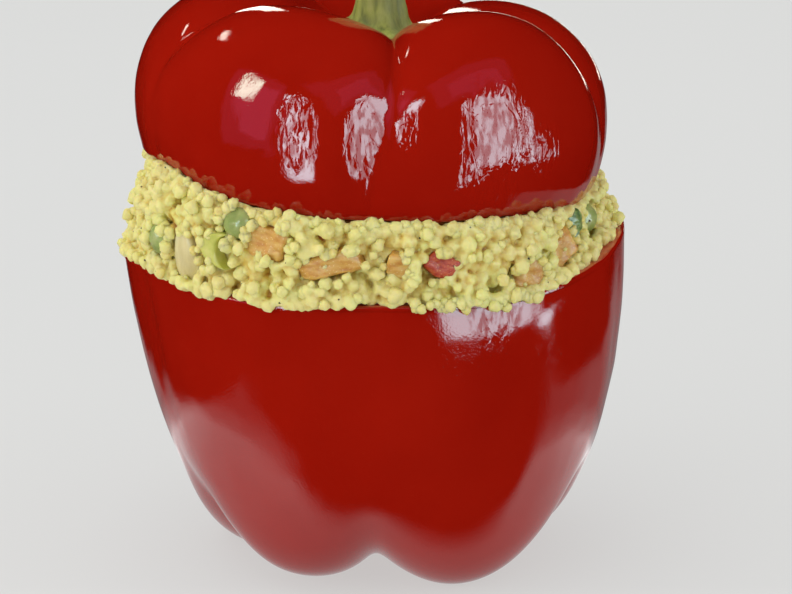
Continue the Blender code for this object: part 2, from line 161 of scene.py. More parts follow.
def cup_hollow(azimuth, rows, inset=0.0):
    """Points down the hollow, from the cut to its floor."""
    full = at_azimuth(cup_fullness, azimuth)
    radius = CUP_GROOVE[-1][0] + (CUP_LOBE[-1][0] - CUP_GROOVE[-1][0]) * full - WALL - inset
    rim = rim_height(azimuth) - FOOT_FLAT
    turn = np.linspace(0.5 * math.pi, 0.0, rows + 1)
    height = CUP_FLOOR + inset + (rim - CUP_FLOOR - inset) * (1.0 - np.cos(turn))
    points = (radius * np.sin(turn) ** 0.65)[:, None] * direction(azimuth)
    points[:, 0] += CUP_SHIFT * (1.0 - np.minimum(1.0, height / CUP_HEIGHT) ** 2)
    points[:, 2] = height
    return points


def rounded_cut(outer, inner, up, rows=8):
    """Points over a cut face from its outer to its inner corner, both corners rounded."""
    across = (inner - outer) / np.linalg.norm(inner - outer)
    bends = []
    for corner, way in ((outer, across), (inner, -across)):
        turn = np.linspace(0.0, 0.5 * math.pi, 5)
        bend = corner + LIP * (1 - np.sin(turn))[:, None] * -up + LIP * (1 - np.cos(turn))[:, None] * way
        bends.append(bend)
    middle = np.linspace(bends[0][-1], bends[1][-1], rows)[1:-1]
    return np.vstack((bends[0], middle, bends[1][::-1]))


def weathered(point, calm=1.0):
    """How far the skin stands out from its plain shape: shallow dents, upright folds, then fine ripples."""
    dents = 0.00042 * noise.noise(point / 0.019)
    folds = 0.00016 * noise.noise(Vector((point[0] / 0.006, point[1] / 0.006, point[2] / 0.022)))
    ripples = 0.000035 * noise.noise(point / 0.0034) + 0.000014 * noise.noise(point / 0.0017)
    return (dents + folds + ripples) * calm


def new_mesh(name, points, faces):
    mesh = bpy.data.meshes.new(name)
    mesh.from_pydata(np.asarray(points).tolist(), [], faces)
    return mesh


def put_in_scene(name, data):
    """Adds an object made of a mesh, a light or a camera."""
    added = bpy.data.objects.new(name, data)
    bpy.context.scene.collection.objects.link(added)
    return added


def turned_piece(name, columns, sharp_degrees=50):
    """A closed piece from one run of points for each azimuth; all runs share their first and last point."""
    columns = np.asarray(columns)
    count, rows = columns.shape[:2]
    points = np.vstack((columns[0, :1], columns[:, 1:-1].reshape(-1, 3), columns[0, -1:]))
    first = 1 + np.arange(count) * (rows - 2)
    after = np.roll(first, -1)
    faces = [(0, int(b), int(a)) for a, b in zip(first, after)]
    for row in range(rows - 3):
        faces += np.stack((first + row, after + row, after + row + 1, first + row + 1), axis=1).tolist()
    last = len(points) - 1
    faces += [(int(a + rows - 3), int(b + rows - 3), last) for a, b in zip(first, after)]
    mesh = new_mesh(name, points, faces)
    mesh.shade_smooth()
    mesh.set_sharp_from_angle(angle=math.radians(sharp_degrees))
    return put_in_scene(name, mesh)


def paint_flesh(piece, first_row, last_row):
    """Gives the faces between two rows of the cup or the lid its second material."""
    for face in piece.data.polygons[first_row * COLUMNS:last_row * COLUMNS]:
        face.material_index = 1


def wire(tree, kind, sockets=None, **settings):
    """Adds a shader node. A socket's value is a number or colour to set, or an output to link from."""
    added = tree.nodes.new("ShaderNode" + kind)
    for key, value in settings.items():
        setattr(added, key, value)
    for key, value in (sockets or {}).items():
        if isinstance(value, bpy.types.NodeSocket):
            tree.links.new(value, added.inputs[key])
        else:
            added.inputs[key].default_value = value
    return added


def new_material(name):
    material = bpy.data.materials.new(name)
    material.use_nodes = True
    tree = material.node_tree
    shader = tree.nodes["Principled BSDF"]
    coords = tree.nodes.new("ShaderNodeTexCoord").outputs["Object"]
    return material, tree, shader, coords


def set_sockets(shader, values):
    for name, value in values.items():
        shader.inputs[name].default_value = value


def maths(tree, operation, *values):
    return wire(tree, "Math", dict(enumerate(values)), operation=operation).outputs[0]


def mixed(tree, factor, first, second, how="MIX"):
    """Two colours mixed: all of the first where the factor is 0."""
    added = wire(tree, "Mix", {0: factor, 6: first, 7: second}, data_type="RGBA")
    added.blend_type = how
    return added.outputs[2]


def faded(tree, value, first, last, how="LINEAR"):
    """0 up to the first value, 1 from the last one on."""
    limits = {"Value": value, "From Min": first, "From Max": last}
    return wire(tree, "MapRange", limits, interpolation_type=how).outputs["Result"]


def ramp(tree, factor, stops):
    """A colour ramp with (position, colour) stops; a single number is a grey."""
    added = wire(tree, "ValToRGB", {"Fac": factor})
    elements = added.color_ramp.elements
    while len(elements) < len(stops):
        elements.new(0.5)
    for element, (position, colour) in zip(elements, stops):
        element.position = position
        element.color = (*colour, 1.0) if isinstance(colour, tuple) else (colour, colour, colour, 1.0)
    return added.outputs["Color"]


def stretched(tree, coords, scale):
    return wire(tree, "Mapping", {"Vector": coords, "Scale": scale}).outputs["Vector"]


def noise_of(tree, coords, scale, detail=2.0, roughness=0.5):
    sockets = {"Vector": coords, "Scale": scale, "Detail": detail, "Roughness": roughness}
    return wire(tree, "TexNoise", sockets).outputs["Fac"]


def colour_noise(tree, coords, scale):
    return wire(tree, "TexNoise", {"Vector": coords, "Scale": scale, "Detail": 1.0}).outputs["Color"]


def cells_of(tree, coords, scale, feature="F1"):
    return wire(tree, "TexVoronoi", {"Vector": coords, "Scale": scale}, feature=feature).outputs["Distance"]


def moved(tree, coords, middle):
    return wire(tree, "VectorMath", {0: coords, 1: middle}, operation="SUBTRACT").outputs["Vector"]


def length_of(tree, coords):
    return wire(tree, "VectorMath", {0: coords}, operation="LENGTH").outputs["Value"]


def bumped(tree, height, distance, strength=1.0, onto=None):
    sockets = {"Height": height, "Distance": distance, "Strength": strength}
    if onto is not None:
        sockets["Normal"] = onto
    return wire(tree, "Bump", sockets).outputs["Normal"]


def skin_material(name, pits, crazed_spots):
    """Ripe red skin under a film of oil. pits is how strongly the film is pitted, 0 to 1; it has crazed and
    dried unevenly at the spots, each the middle of one and how far it spreads."""
    material, tree, shader, coords = new_material(name)
    broad = noise_of(tree, coords, 38.0, 3.0)
    reds = ramp(tree, broad, [(0.25, (0.296, 0.0058, 0.0017)), (0.75, (0.358, 0.0088, 0.0029))])
    specks = ramp(tree, cells_of(tree, coords, 520.0), [(0.02, 0.30), (0.10, 0.0)])
    tree.links.new(mixed(tree, specks, reds, (0.40, 0.026, 0.009, 1.0)), shader.inputs["Base Color"])

    clear = 1.0  # 0 in the crazed spots
    ragged = noise_of(tree, coords, 420.0, 3.0)
    for middle, reach in crazed_spots:
        away = length_of(tree, stretched(tree, moved(tree, coords, middle), (1.0, 0.6, 0.55)))
        away = maths(tree, "MULTIPLY_ADD", ragged, 0.5 * reach, away)
        clear = maths(tree, "MINIMUM", clear, faded(tree, away, 1.10 * reach, 1.35 * reach))

    upright = stretched(tree, coords, (1.0, 1.0, 0.40))
    film = bumped(tree, noise_of(tree, coords, 2800.0, 2.0), 0.000005 + 0.000026 * pits)
    for scale, width, depth in ((250.0, 0.04, 0.000020), (560.0, 0.07, 0.000010)):
        shift = {0: 0.0014, 4: upright, 5: colour_noise(tree, coords, scale)}
        warped = wire(tree, "Mix", shift, data_type="VECTOR").outputs[1]
        edges = cells_of(tree, warped, scale, "DISTANCE_TO_EDGE")
        cracks = maths(tree, "MAXIMUM", ramp(tree, edges, [(0.0, 0.0), (width, 1.0)]), clear)
        film = bumped(tree, cracks, depth, onto=film)
    blotches = {0: clear, 2: noise_of(tree, upright, 800.0, 1.0), 3: 0.5}
    film = bumped(tree, wire(tree, "Mix", blotches, data_type="FLOAT").outputs[0], 0.00019, onto=film)
    film = bumped(tree, noise_of(tree, upright, 520.0, 2.0), 0.000014, onto=film)
    tree.links.new(film, shader.inputs["Normal"])
    tree.links.new(film, shader.inputs["Coat Normal"])

    dried = ramp(tree, noise_of(tree, upright, 950.0, 2.0), [(0.44, 0.35), (0.58, 1.0)])
    tree.links.new(maths(tree, "MAXIMUM", dried, clear), shader.inputs["Coat Weight"])
    set_sockets(shader, {
        "Roughness": 0.5, "Specular IOR Level": 0.0, "Coat Roughness": 0.03, "Coat IOR": 1.6,
        "Subsurface Weight": 0.06, "Subsurface Radius": (1.0, 0.15, 0.08), "Subsurface Scale": 0.003,
    })
    return material


def flesh_material(name):
    """Cut pepper flesh: wet and let through by the light, flecked paler and darker."""
    material, tree, shader, coords = new_material(name)
    flecks = noise_of(tree, coords, 420.0, 4.0, 0.6)
    reds = [(0.3, (0.36, 0.014, 0.006)), (0.55, (0.52, 0.050, 0.016)), (0.75, (0.66, 0.160, 0.050))]
    tree.links.new(ramp(tree, flecks, reds), shader.inputs["Base Color"])
    tree.links.new(bumped(tree, flecks, 0.00015), shader.inputs["Normal"])
    set_sockets(shader, {
        "Roughness": 0.3, "Coat Weight": 0.6, "Coat Roughness": 0.12,
        "Subsurface Weight": 0.3, "Subsurface Radius": (1.0, 0.25, 0.1), "Subsurface Scale": 0.002,
    })
    return material


cup_columns = []
for step in range(COLUMNS):
    azimuth = 360.0 * step / COLUMNS
    out = direction(azimuth)
    skin = cup_skin(azimuth)
    for point in skin[1:]:
        calm = min(1.0, max(0.0, (point[2] - CALM_FOOT) / CALM_FOOT))
        point += out * weathered(Vector(point), calm)
    hollow = cup_hollow(azimuth, HOLLOW_ROWS)
    outer, inner = skin[-1].copy(), hollow[0].copy()
    cut = rounded_cut(outer, inner, np.array((0.0, 0.0, 1.0)))
    for point in cut:
        point[2] += CUT_RELIEF[0] * noise.noise(Vector(point) / CUT_RELIEF[1])
    skin[-1] = outer - (0.0, 0.0, 2 * LIP)
    cup_columns.append(np.vstack((skin, cut, hollow[1:])))
cup = turned_piece("cup", cup_columns)
cup.data.materials.append(skin_material("pepper_skin_cup", CUP_PITS, CUP_CRAZED))
cup.data.materials.append(flesh_material("pepper_flesh_cup"))
paint_flesh(cup, SKIN_ROWS + 4, len(cup_columns[0]) - 2)
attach(cup, "root")
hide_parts("pepper_cup")

# ---------------------------------------------------------------------------------------------------------
# The lid: the pepper's own top, cut off level with its shoulder and set back on the heap, where it leans
# a little to one side. Its five lobes fold in towards the pit that the stem grows from.
# ---------------------------------------------------------------------------------------------------------
LID_GROOVES = (4.5, 75.0, 146.0, 220.0, 294.0)
LID_CRISP_HEIGHT = 0.024  # its valleys grow from soft at the cut to crisp this high up
LID_PLACE = (-0.0019, 0.0, 0.0699)
LID_LEAN = math.radians(7.0)
LID_LOBE = (
    (0.0388, 0.0000), (0.0411, 0.0060), (0.0421, 0.0130), (0.0410, 0.0200), (0.0374, 0.0262),
    (0.0315, 0.0308), (0.0243, 0.0322), (0.0165, 0.0300), (0.0100, 0.0252), (0.0055, 0.0225),
    (0.0000, 0.0220),
)
LID_GROOVE = (
    (0.0386, 0.0000), (0.0406, 0.0060), (0.0410, 0.0125), (0.0390, 0.0188), (0.0343, 0.0238),
    (0.0282, 0.0267), (0.0220, 0.0274), (0.0160, 0.0261), (0.0100, 0.0238), (0.0055, 0.0221),
    (0.0000, 0.0218),
)
LID_LOBE_SIZES = (1.45, 0.85, 0.9, 0.72, 0.85)
LID_EDGE_LIFTS = ((42.0, 32.0, 0.0028), (302.0, 18.0, 0.0020), (0.0, 50.0, 0.0010))
LID_EDGE_FADE = 0.02
LID_FLARES = ((2.0, 58.0, 0.0036),)  # where the skin stands out above the cut: azimuth, spread, how far
# The valley in front is a V: the azimuth of its bottom and how deep it is, each by height.
VALLEY_AZIMUTHS = ((0.010, 0.4), (0.024, 2.6))
VALLEY_DEPTHS = (
    (0.0, 0.0011), (0.006, 0.0019), (0.012, 0.0023), (0.019, 0.0023), (0.030, 0.0009), (0.034, 0.0),
)
VALLEY_LEFT = 8.5  # how far it reaches to its left and right, in degrees
VALLEY_RIGHT = 24.0
VALLEY_ROUNDING = 1.6  # degrees over which its bottom is rounded
VALLEY_SOFTNESS = 0.12  # how softly its sides run out, as a share of how far they reach
VALLEY_INNER = 0.022  # radius below which it fades out towards the pit
LID_PITS = 0.2
LID_CRAZED = (  # where its oil has dried unevenly: middle, reach
    ((-0.0014, -0.0410, 0.0850), 0.0036), ((0.0195, -0.0360, 0.0832), 0.0060),
    ((-0.0122, -0.0390, 0.0857), 0.0034), ((-0.0211, -0.0250, 0.0910), 0.0020),
    ((0.0060, -0.0405, 0.0864), 0.0022), ((0.0282, -0.0300, 0.0810), 0.0028),
)
LID_CUT_RELIEF = (0.00030, 0.0030)
LID_NOISE_SHIFT = Vector((0.3, 0.1, 0.2))  # so that its dents are not the cup's
PIT_RADIUS = 0.02  # the dents fade inside it, down to the stem
LID_HOLLOW_ROWS = 12
LID_FLESH_ROWS = LID_HOLLOW_ROWS + 13  # rows of the hollow and the cut that are bare flesh
LID_HOLLOW = (
    (0.0000, 0.0165), (0.0120, 0.0172), (0.0220, 0.0165), (0.0285, 0.0130), (0.0322, 0.0065),
    (0.0326, 0.0000),
)

lid_matrix = np.array(Matrix.Translation(LID_PLACE) @ Euler((0.0, LID_LEAN, 0.0)).to_matrix().to_4x4())
lid_lobe_curve = smooth_curve(LID_LOBE, 400)
lid_groove_curve = smooth_curve(LID_GROOVE, 400)
lid_hollow_curve = smooth_curve(LID_HOLLOW, 100)
lid_crispness = np.minimum(1.0, lid_lobe_curve[:, 1] / LID_CRISP_HEIGHT)
lid_soft_fullness = lobe_fullness(LID_GROOVES, LID_LOBE_SIZES, 0.0, 4.0)
lid_crisp_fullness = lobe_fullness(LID_GROOVES, LID_LOBE_SIZES, 1.0, 1.5)


def onto_heap(points):
    """From the lid's own frame, in which its cut lies on Z = 0, to its place on the heap."""
    return points @ lid_matrix[:3, :3].T + lid_matrix[:3, 3]


def with_cut_waves(azimuth, curve):
    rise = lifted(azimuth, LID_EDGE_LIFTS)
    points = curve[:, :1] * direction(azimuth)
    points[:, 2] = curve[:, 1] + rise * np.maximum(0.0, 1.0 - curve[:, 1] / LID_EDGE_FADE)
    return points


def lid_skin(azimuth, rows=SKIN_ROWS):
    """Points up the lid's skin in its own frame, from the cut to the pit."""
    soft, crisp = at_azimuth(lid_soft_fullness, azimuth), at_azimuth(lid_crisp_fullness, azimuth)
    full = (soft + lid_crispness * (crisp - soft))[:, None]
    curve = lid_groove_curve + full * (lid_lobe_curve - lid_groove_curve)
    low = np.maximum(0.0, 1.0 - curve[:, 1] / LID_EDGE_FADE)
    curve[:, 0] += lifted(azimuth, LID_FLARES) * low**2
    side = azimuth - np.interp(curve[:, 1], *zip(*VALLEY_AZIMUTHS))
    side = (side + 180.0) % 360.0 - 180.0
    away = np.hypot(side, VALLEY_ROUNDING) / np.where(side > 0.0, VALLEY_RIGHT, VALLEY_LEFT)
    share = VALLEY_SOFTNESS * np.log1p(np.exp((1.0 - away) / VALLEY_SOFTNESS))
    share = share * np.minimum(1.0, curve[:, 0] / VALLEY_INNER) ** 3
    curve[:, 0] -= share * np.interp(curve[:, 1], *zip(*VALLEY_DEPTHS))
    return even_steps(with_cut_waves(azimuth, curve), rows)


lid_columns = []
for step in range(COLUMNS):
    azimuth = 360.0 * step / COLUMNS
    out = direction(azimuth)
    skin = lid_skin(azimuth)
    for point in skin[:-1]:
        calm = min(1.0, float(np.hypot(point[0], point[1])) / PIT_RADIUS)
        point += out * weathered(Vector(point) + LID_NOISE_SHIFT, calm)
    hollow = with_cut_waves(azimuth, even_steps(lid_hollow_curve, LID_HOLLOW_ROWS))
    cut = rounded_cut(hollow[-1].copy(), skin[0].copy(), np.array((0.0, 0.0, -1.0)))
    for point in cut:
        point[2] += LID_CUT_RELIEF[0] * noise.noise(Vector(point) / LID_CUT_RELIEF[1])
    skin[0, 2] += 2 * LIP
    lid_columns.append(onto_heap(np.vstack((hollow[:-1], cut, skin))))
lid = turned_piece("lid", lid_columns)
lid.data.materials.append(skin_material("pepper_skin_lid", LID_PITS, LID_CRAZED))
lid.data.materials.append(flesh_material("pepper_flesh_lid"))
paint_flesh(lid, 0, LID_FLESH_ROWS)
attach(lid, "root")
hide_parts("pepper_lid")

# ---------------------------------------------------------------------------------------------------------
# The stem: what is left of the stalk, with five ribs, pale where it was snapped off, over the ragged green
# star of the calyx that sits in the lid's pit.
# ---------------------------------------------------------------------------------------------------------
STEM = (
    (0.0000, 0.0226), (0.0050, 0.0229), (0.0078, 0.0246), (0.0078, 0.0256), (0.0055, 0.0269),
    (0.0045, 0.0292), (0.0040, 0.0335), (0.0039, 0.0390), (0.0041, 0.0440), (0.0044, 0.0472),
    (0.0036, 0.0478), (0.0000, 0.0476),
)
STEM_COLUMNS = 120
STEM_ROWS = 90
STEM_RIBS = 5
STEM_TURN = 18.0  # azimuth of one rib
RIB_DEPTH = 0.09
CALYX_HEIGHT = 0.0254
CALYX_SPAN = 0.003
CALYX_POINTS = 0.20
STEM_BEND = (-0.0045, 0.0020)
STEM_TOP = (0.1166, 0.1174)  # heights over which its colour turns from green to pith

stem_curve = even_steps(smooth_curve(STEM, 300), STEM_ROWS)
stem_columns = []
for step in range(STEM_COLUMNS):
    turn = 360.0 * step / STEM_COLUMNS
    column = []
    for radius, height in stem_curve:
        rise = (height - STEM[0][1]) / (STEM[-1][1] - STEM[0][1])
        calyx = max(0.0, 1.0 - abs(height - CALYX_HEIGHT) / CALYX_SPAN)
        wave = RIB_DEPTH * (1.0 - calyx) + CALYX_POINTS * calyx
        rib = math.cos(math.radians((turn - STEM_TURN) * STEM_RIBS))
        point = direction(turn) * radius * (1.0 + wave * rib)
        point += (STEM_BEND[0] * max(0.0, rise) ** 1.3, STEM_BEND[1] * max(0.0, rise) ** 1.3, height)
        fibre = Vector((point[0] / 0.0011, point[1] / 0.0011, point[2] / 0.012))
        uneven = 0.00030 * noise.noise(Vector(point) / 0.004) + 0.00016 * noise.noise(fibre)
        column.append(point + direction(turn) * uneven * min(1.0, radius / 0.002))
    column[0] = np.array((0.0, 0.0, STEM[0][1]))
    column[-1] = np.array((*STEM_BEND, STEM[-1][1] - 0.0004))
    stem_columns.append(onto_heap(np.array(column)))
stem = turned_piece("stem_and_calyx", stem_columns, 60)


def stem_material():
    """Cooked stalk: olive and yellow green in long streaks, greyer in broad patches, woody on top."""
    material, tree, shader, coords = new_material("stem_green")
    streaks = noise_of(tree, stretched(tree, coords, (1.0, 1.0, 0.10)), 620.0, 4.0, 0.6)
    greens = [(0.30, (0.140, 0.175, 0.030)), (0.52, (0.350, 0.390, 0.075)), (0.75, (0.520, 0.530, 0.160))]
    greyed = ramp(tree, noise_of(tree, coords, 170.0, 2.0), [(0.42, 0.0), (0.62, 0.55)])
    stalk = mixed(tree, greyed, ramp(tree, streaks, greens), (0.200, 0.235, 0.090, 1.0))
    top = faded(tree, wire(tree, "SeparateXYZ", {"Vector": coords}).outputs["Z"], *STEM_TOP)
    browns = [(0.35, (0.20, 0.15, 0.06)), (0.65, (0.52, 0.47, 0.26))]
    pith = ramp(tree, noise_of(tree, coords, 900.0, 3.0), browns)
    tree.links.new(mixed(tree, top, stalk, pith), shader.inputs["Base Color"])
    tree.links.new(bumped(tree, streaks, 0.00025), shader.inputs["Normal"])
    set_sockets(shader, {
        "Roughness": 0.6, "Specular IOR Level": 0.25,
        "Subsurface Weight": 0.15, "Subsurface Radius": (0.5, 1.0, 0.2), "Subsurface Scale": 0.0015,
    })
    return material


stem.data.materials.append(stem_material())
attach(stem, "root")
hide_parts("stem")

# ---------------------------------------------------------------------------------------------------------
# The heap: couscous spooned into the cup until it stands over the rim, and pressed outwards by the lid. Its
# body is one crumbly mass, coloured darker than the grains as painted shade for where it shows between
# them; the loose grains that cover it are the next section.
# ---------------------------------------------------------------------------------------------------------
HEAP_STEPS = 480  # steps round the heap
HEAP_ROWS = 28  # steps up its free face
HEAP_SETBACK = 0.0005
HEAP_BULGE = 0.0026
HEAP_SWELLS = ((88.0, 38.0, -0.0026), (0.0, 45.0, -0.0014), (268.0, 26.0, -0.0014))
HEAP_SHOULDER = 1.4
HEAP_BANK = 0.0004
HEAP_BANKS = ((96.0, 24.0, 0.0042),)
# Where its face stands back, and where its top stays under the lid's cut: azimuth, spread, depth.
STAND_BACKS = ((82.0, 34.0, 0.0021), (270.0, 34.0, 0.0014))
TOP_TUCKS = ((268.0, 26.0, 0.0030),)
CORE_INSET = 0.0021  # how far the mass lies behind the grains
CORE_FOOT_INSET = 0.001  # and how much farther just over the rim
CORE_LUMPS = ((0.0011, 0.0032), (0.0006, 0.0012))  # its relief: height, spread
PIECE_GAP = 0.0003
COVERED_LEAN = 0.0006

# How far the heap's lower edge hangs over the rim, below 0 where it stands back from it: azimuth, metres.
HEAP_HEMS = (
    (-180, 0.0004), (-165, 0.0012), (-152, -0.0010), (-138, 0.0009), (-120, 0.0002), (-104, 0.0012),
    (-92, -0.0006), (-80, 0.0006), (-70, 0.0002), (-60, 0.0009), (-50, 0.0000), (-45, 0.0013),
    (-41, 0.0023), (-36, 0.0013), (-31, -0.0009), (-28, -0.0006), (-25, 0.0015), (-18, 0.0014),
    (-12, 0.0013), (-7, 0.0008), (-2, -0.0008), (3, -0.0022), (6, -0.0012), (9, 0.0004),
    (12, -0.0016), (15, -0.0012), (19, 0.0004), (25, 0.0006), (30, 0.0002), (36, 0.0002),
    (40, 0.0004), (46, -0.0003), (54, -0.0010), (64, -0.0013), (80, -0.0014), (92, -0.0010),
    (104, -0.0008), (117, 0.0014), (131, 0.0002), (144, -0.0012), (158, 0.0011), (170, -0.0003),
    (180, 0.0004),
)


def hem(azimuth):
    places, drops = zip(*HEAP_HEMS)
    return float(np.interp((azimuth + 180.0) % 360.0 - 180.0, places, drops))


def lid_skirt(azimuth, above):
    """The point on the lid's skin at a height above its cut, in the lid's frame."""
    skin = lid_skin(azimuth, 60)[:24]
    height = skin[0, 2] + above
    return np.array([np.interp(height, skin[:, 2], skin[:, axis]) for axis in range(3)])


def heap_face(azimuth):
    """Points up the heap's free face, from beside the rim's outer edge to the lid's skin."""
    out = direction(azimuth)
    setback = HEAP_SETBACK + max(0.0, -hem(azimuth))
    low = cup_skin(azimuth)[-1] - out * setback + (0.0, 0.0, PIECE_GAP)
    skirt = lid_skirt(azimuth, HEAP_BANK + lifted(azimuth, HEAP_BANKS)) + out * PIECE_GAP
    tuck = lifted(azimuth, TOP_TUCKS)
    high = onto_heap(skirt[None, :])[0] - out * tuck - (0.0, 0.0, 0.4 * tuck)
    share = np.linspace(0.0, 1.0, HEAP_ROWS + 1)[:, None]
    swell = (HEAP_BULGE + lifted(azimuth, HEAP_SWELLS)) * np.sin(math.pi * share**HEAP_SHOULDER)
    swell = swell - lifted(azimuth, STAND_BACKS) * np.sin(math.pi * share) ** 0.5
    return low + share * (high - low) + out * swell


heap_faces = np.array([heap_face(360.0 * step / HEAP_STEPS) for step in range(HEAP_STEPS)])


def heap_point(azimuth, share):
    """The point of the heap's face at an azimuth and a share of the way up, and the way it faces."""
    step = (azimuth % 360.0) * HEAP_STEPS / 360.0
    low = int(step) % HEAP_STEPS
    row = min(max(share, 0.0), 1.0) * HEAP_ROWS
    under = min(int(row), HEAP_ROWS - 1)
    patch = heap_faces[[low, (low + 1) % HEAP_STEPS]][:, under:under + 2]
    u, v = step - int(step), row - under
    below = (1 - u) * patch[0, 0] + u * patch[1, 0]
    above = (1 - u) * patch[0, 1] + u * patch[1, 1]
    point = (1 - v) * below + v * above
    faces_out = np.cross(patch[1, 0] - patch[0, 0], patch[0, 1] - patch[0, 0])
    return point, faces_out / np.linalg.norm(faces_out)


core_columns = []
for step in range(HEAP_STEPS):
    azimuth = 360.0 * step / HEAP_STEPS
    out = direction(azimuth)
    in_cup = cup_hollow(azimuth, HOLLOW_ROWS, PIECE_GAP)[::-1]
    face = heap_faces[step].copy()
    for row, point in enumerate(face):
        relief = sum(height * noise.noise(Vector(point) / spread) for height, spread in CORE_LUMPS)
        foot = CORE_FOOT_INSET * math.cos(0.5 * math.pi * row / HEAP_ROWS) ** 4
        point += out * (relief - CORE_INSET - foot)
    hollow = with_cut_waves(azimuth, even_steps(lid_hollow_curve, HOLLOW_ROWS))[::-1]
    hollow[:, 2] -= PIECE_GAP
    hollow[:, :2] -= out[:2] * PIECE_GAP
    hollow[-1, :2] = 0.0
    corner = onto_heap((lid_skin(azimuth, 60)[0] - (0.0, 0.0, PIECE_GAP))[None, :])[0]
    corner -= out * (COVERED_LEAN + lifted(azimuth, TOP_TUCKS))
    if face[-1, 2] > corner[2]:
        face = face[face[:, 2] < corner[2] - 0.0002]
    face = even_steps(np.vstack((face, corner)), HEAP_ROWS + 2)
    core_columns.append(np.vstack((in_cup, face, onto_heap(hollow))))
core = turned_piece("heap_core", core_columns, 80)


def couscous_look(name, pale, deep, crevice):
    """Cooked couscous, stained yellow: soft, damp grains that the light goes into. A point attribute holds
    each grain's own tone mixed with painted light and painted shade, 0 for the darkest; the crevice colour
    at its low end is painted shade, and the pale colour at its high end is partly painted light."""
    material, tree, shader, coords = new_material(name)
    tone_and_shade = wire(tree, "Attribute", attribute_name="tone_and_shade").outputs["Fac"]
    mottle = noise_of(tree, coords, 900.0, 3.0, 0.6)
    shade = maths(tree, "MULTIPLY_ADD", mottle, 0.35, tone_and_shade)
    # the ramp's dark end is painted shade for the cracks, and its pale end is partly painted light
    yellows = ramp(tree, shade, [(0.18, crevice), (0.46, deep), (0.85, pale)])
    greened = ramp(tree, noise_of(tree, coords, 130.0, 2.0), [(0.48, 0.0), (0.66, 0.40)])
    stained = mixed(tree, greened, yellows, (0.96, 1.12, 0.95, 1.0), "MULTIPLY")
    tree.links.new(stained, shader.inputs["Base Color"])
    pores = bumped(tree, noise_of(tree, coords, 2600.0, 3.0, 0.65), 0.00012)
    tree.links.new(bumped(tree, mottle, 0.0002, onto=pores), shader.inputs["Normal"])
    set_sockets(shader, {
        "Roughness": 0.5, "Specular IOR Level": 0.3, "Coat Weight": 0.06, "Coat Roughness": 0.25,
        "Subsurface Weight": 0.45, "Subsurface Radius": (1.0, 0.75, 0.25), "Subsurface Scale": 0.0012,
    })
    return material


DEEP_GRAIN = (0.70, 0.50, 0.105)
# the mass takes the grains' darker colours: painted shade for where it shows between them
core_painted_shade = couscous_look("couscous_crumb", DEEP_GRAIN, (0.62, 0.36, 0.06), (0.40, 0.12, 0.015))
core.data.materials.append(core_painted_shade)
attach(core, "root")
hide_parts("filling")

# ---------------------------------------------------------------------------------------------------------
# The diced vegetables: peas, carrot, onion, celery, and bits of red and green pepper, stirred through the
# couscous and bedded in its face. Each has its place round the heap, how far up its face it lies, its turn
# in the face, its width and its height.
# ---------------------------------------------------------------------------------------------------------
PEAS = (
    (-54.3, 0.33, 0.0, 0.0066, 0.0066), (-28.8, 0.80, 0.0, 0.0058, 0.0058),
    (73.0, 0.56, 0.0, 0.0064, 0.0064), (127.0, 0.52, 0.0, 0.0060, 0.0060),
    (163.0, 0.35, 0.0, 0.0064, 0.0064), (205.0, 0.62, 0.0, 0.0068, 0.0068),
    (246.0, 0.42, 0.0, 0.0062, 0.0062),
)
CARROTS = (
    (-21.0, 0.66, 12.0, 0.0075, 0.0056), (-8.0, 0.46, -14.0, 0.0112, 0.0046),
    (6.5, 0.48, 10.0, 0.0040, 0.0036), (37.5, 0.24, 20.0, 0.0058, 0.0052),
    (50.5, 0.38, -24.0, 0.0088, 0.0056), (114.0, 0.42, 15.0, 0.0070, 0.0050),
    (150.0, 0.56, -15.0, 0.0066, 0.0048), (184.0, 0.40, 35.0, 0.0066, 0.0055),
    (226.0, 0.36, -10.0, 0.0074, 0.0060),
)
ONIONS = (
    (-45.0, 0.27, 0.0, 0.0066, 0.0084), (138.0, 0.52, 20.0, 0.0044, 0.0060),
    (256.0, 0.66, -50.0, 0.0050, 0.0080),
)
CELERY = ((-33.8, 0.48, 8.0, 0.0040, 0.0062), (174.0, 0.70, 70.0, 0.0036, 0.0066))
RED_BITS = (
    (15.6, 0.46, 35.0, 0.0046, 0.0046), (215.0, 0.30, 10.0, 0.0050, 0.0042),
    (236.0, 0.70, -40.0, 0.0050, 0.0040),
)
GREEN_BITS = ((60.5, 0.70, -15.0, 0.0046, 0.0046), (195.0, 0.36, 30.0, 0.0050, 0.0044))
PEA_PROUD = 0.0020
CUT_PROUD = 0.0010


def sphere_of_squares(cuts):
    """Unit directions over a cube's faces, cuts squares to each edge, and their faces."""
    bm = bmesh.new()
    bmesh.ops.create_cube(bm, size=2.0)
    bmesh.ops.subdivide_edges(bm, edges=bm.edges[:], cuts=cuts - 1, use_grid_fill=True)
    points = np.array([v.co for v in bm.verts])
    bm.verts.index_update()
    faces = np.array([[v.index for v in f.verts] for f in bm.faces])
    bm.free()
    return points, faces


fine_cube, fine_faces = sphere_of_squares(20)


def pea_form(rng, width, _height):
    """A cooked pea: round, dented on one side, its skin slackened into a few soft folds."""
    ways = fine_cube / np.linalg.norm(fine_cube, axis=1)[:, None]
    dent = np.array((rng.uniform(-0.5, 0.5), -1.0, rng.uniform(0.2, 0.9)))
    dent /= np.linalg.norm(dent)
    shift = rng.uniform(-9, 9, 3)
    sizes = np.empty(len(ways))
    for index, way in enumerate(ways):
        folds = noise.noise(Vector(way * (2.2, 2.2, 0.9) + shift))
        sizes[index] = 1.0 + 0.045 * folds + 0.02 * noise.noise(Vector(way * 6.0 + shift))
    sizes -= 0.16 * np.exp(-((1.0 - ways @ dent) / 0.10) ** 2)
    return ways * sizes[:, None] * 0.5 * width * (1.0, 0.96, 0.95)


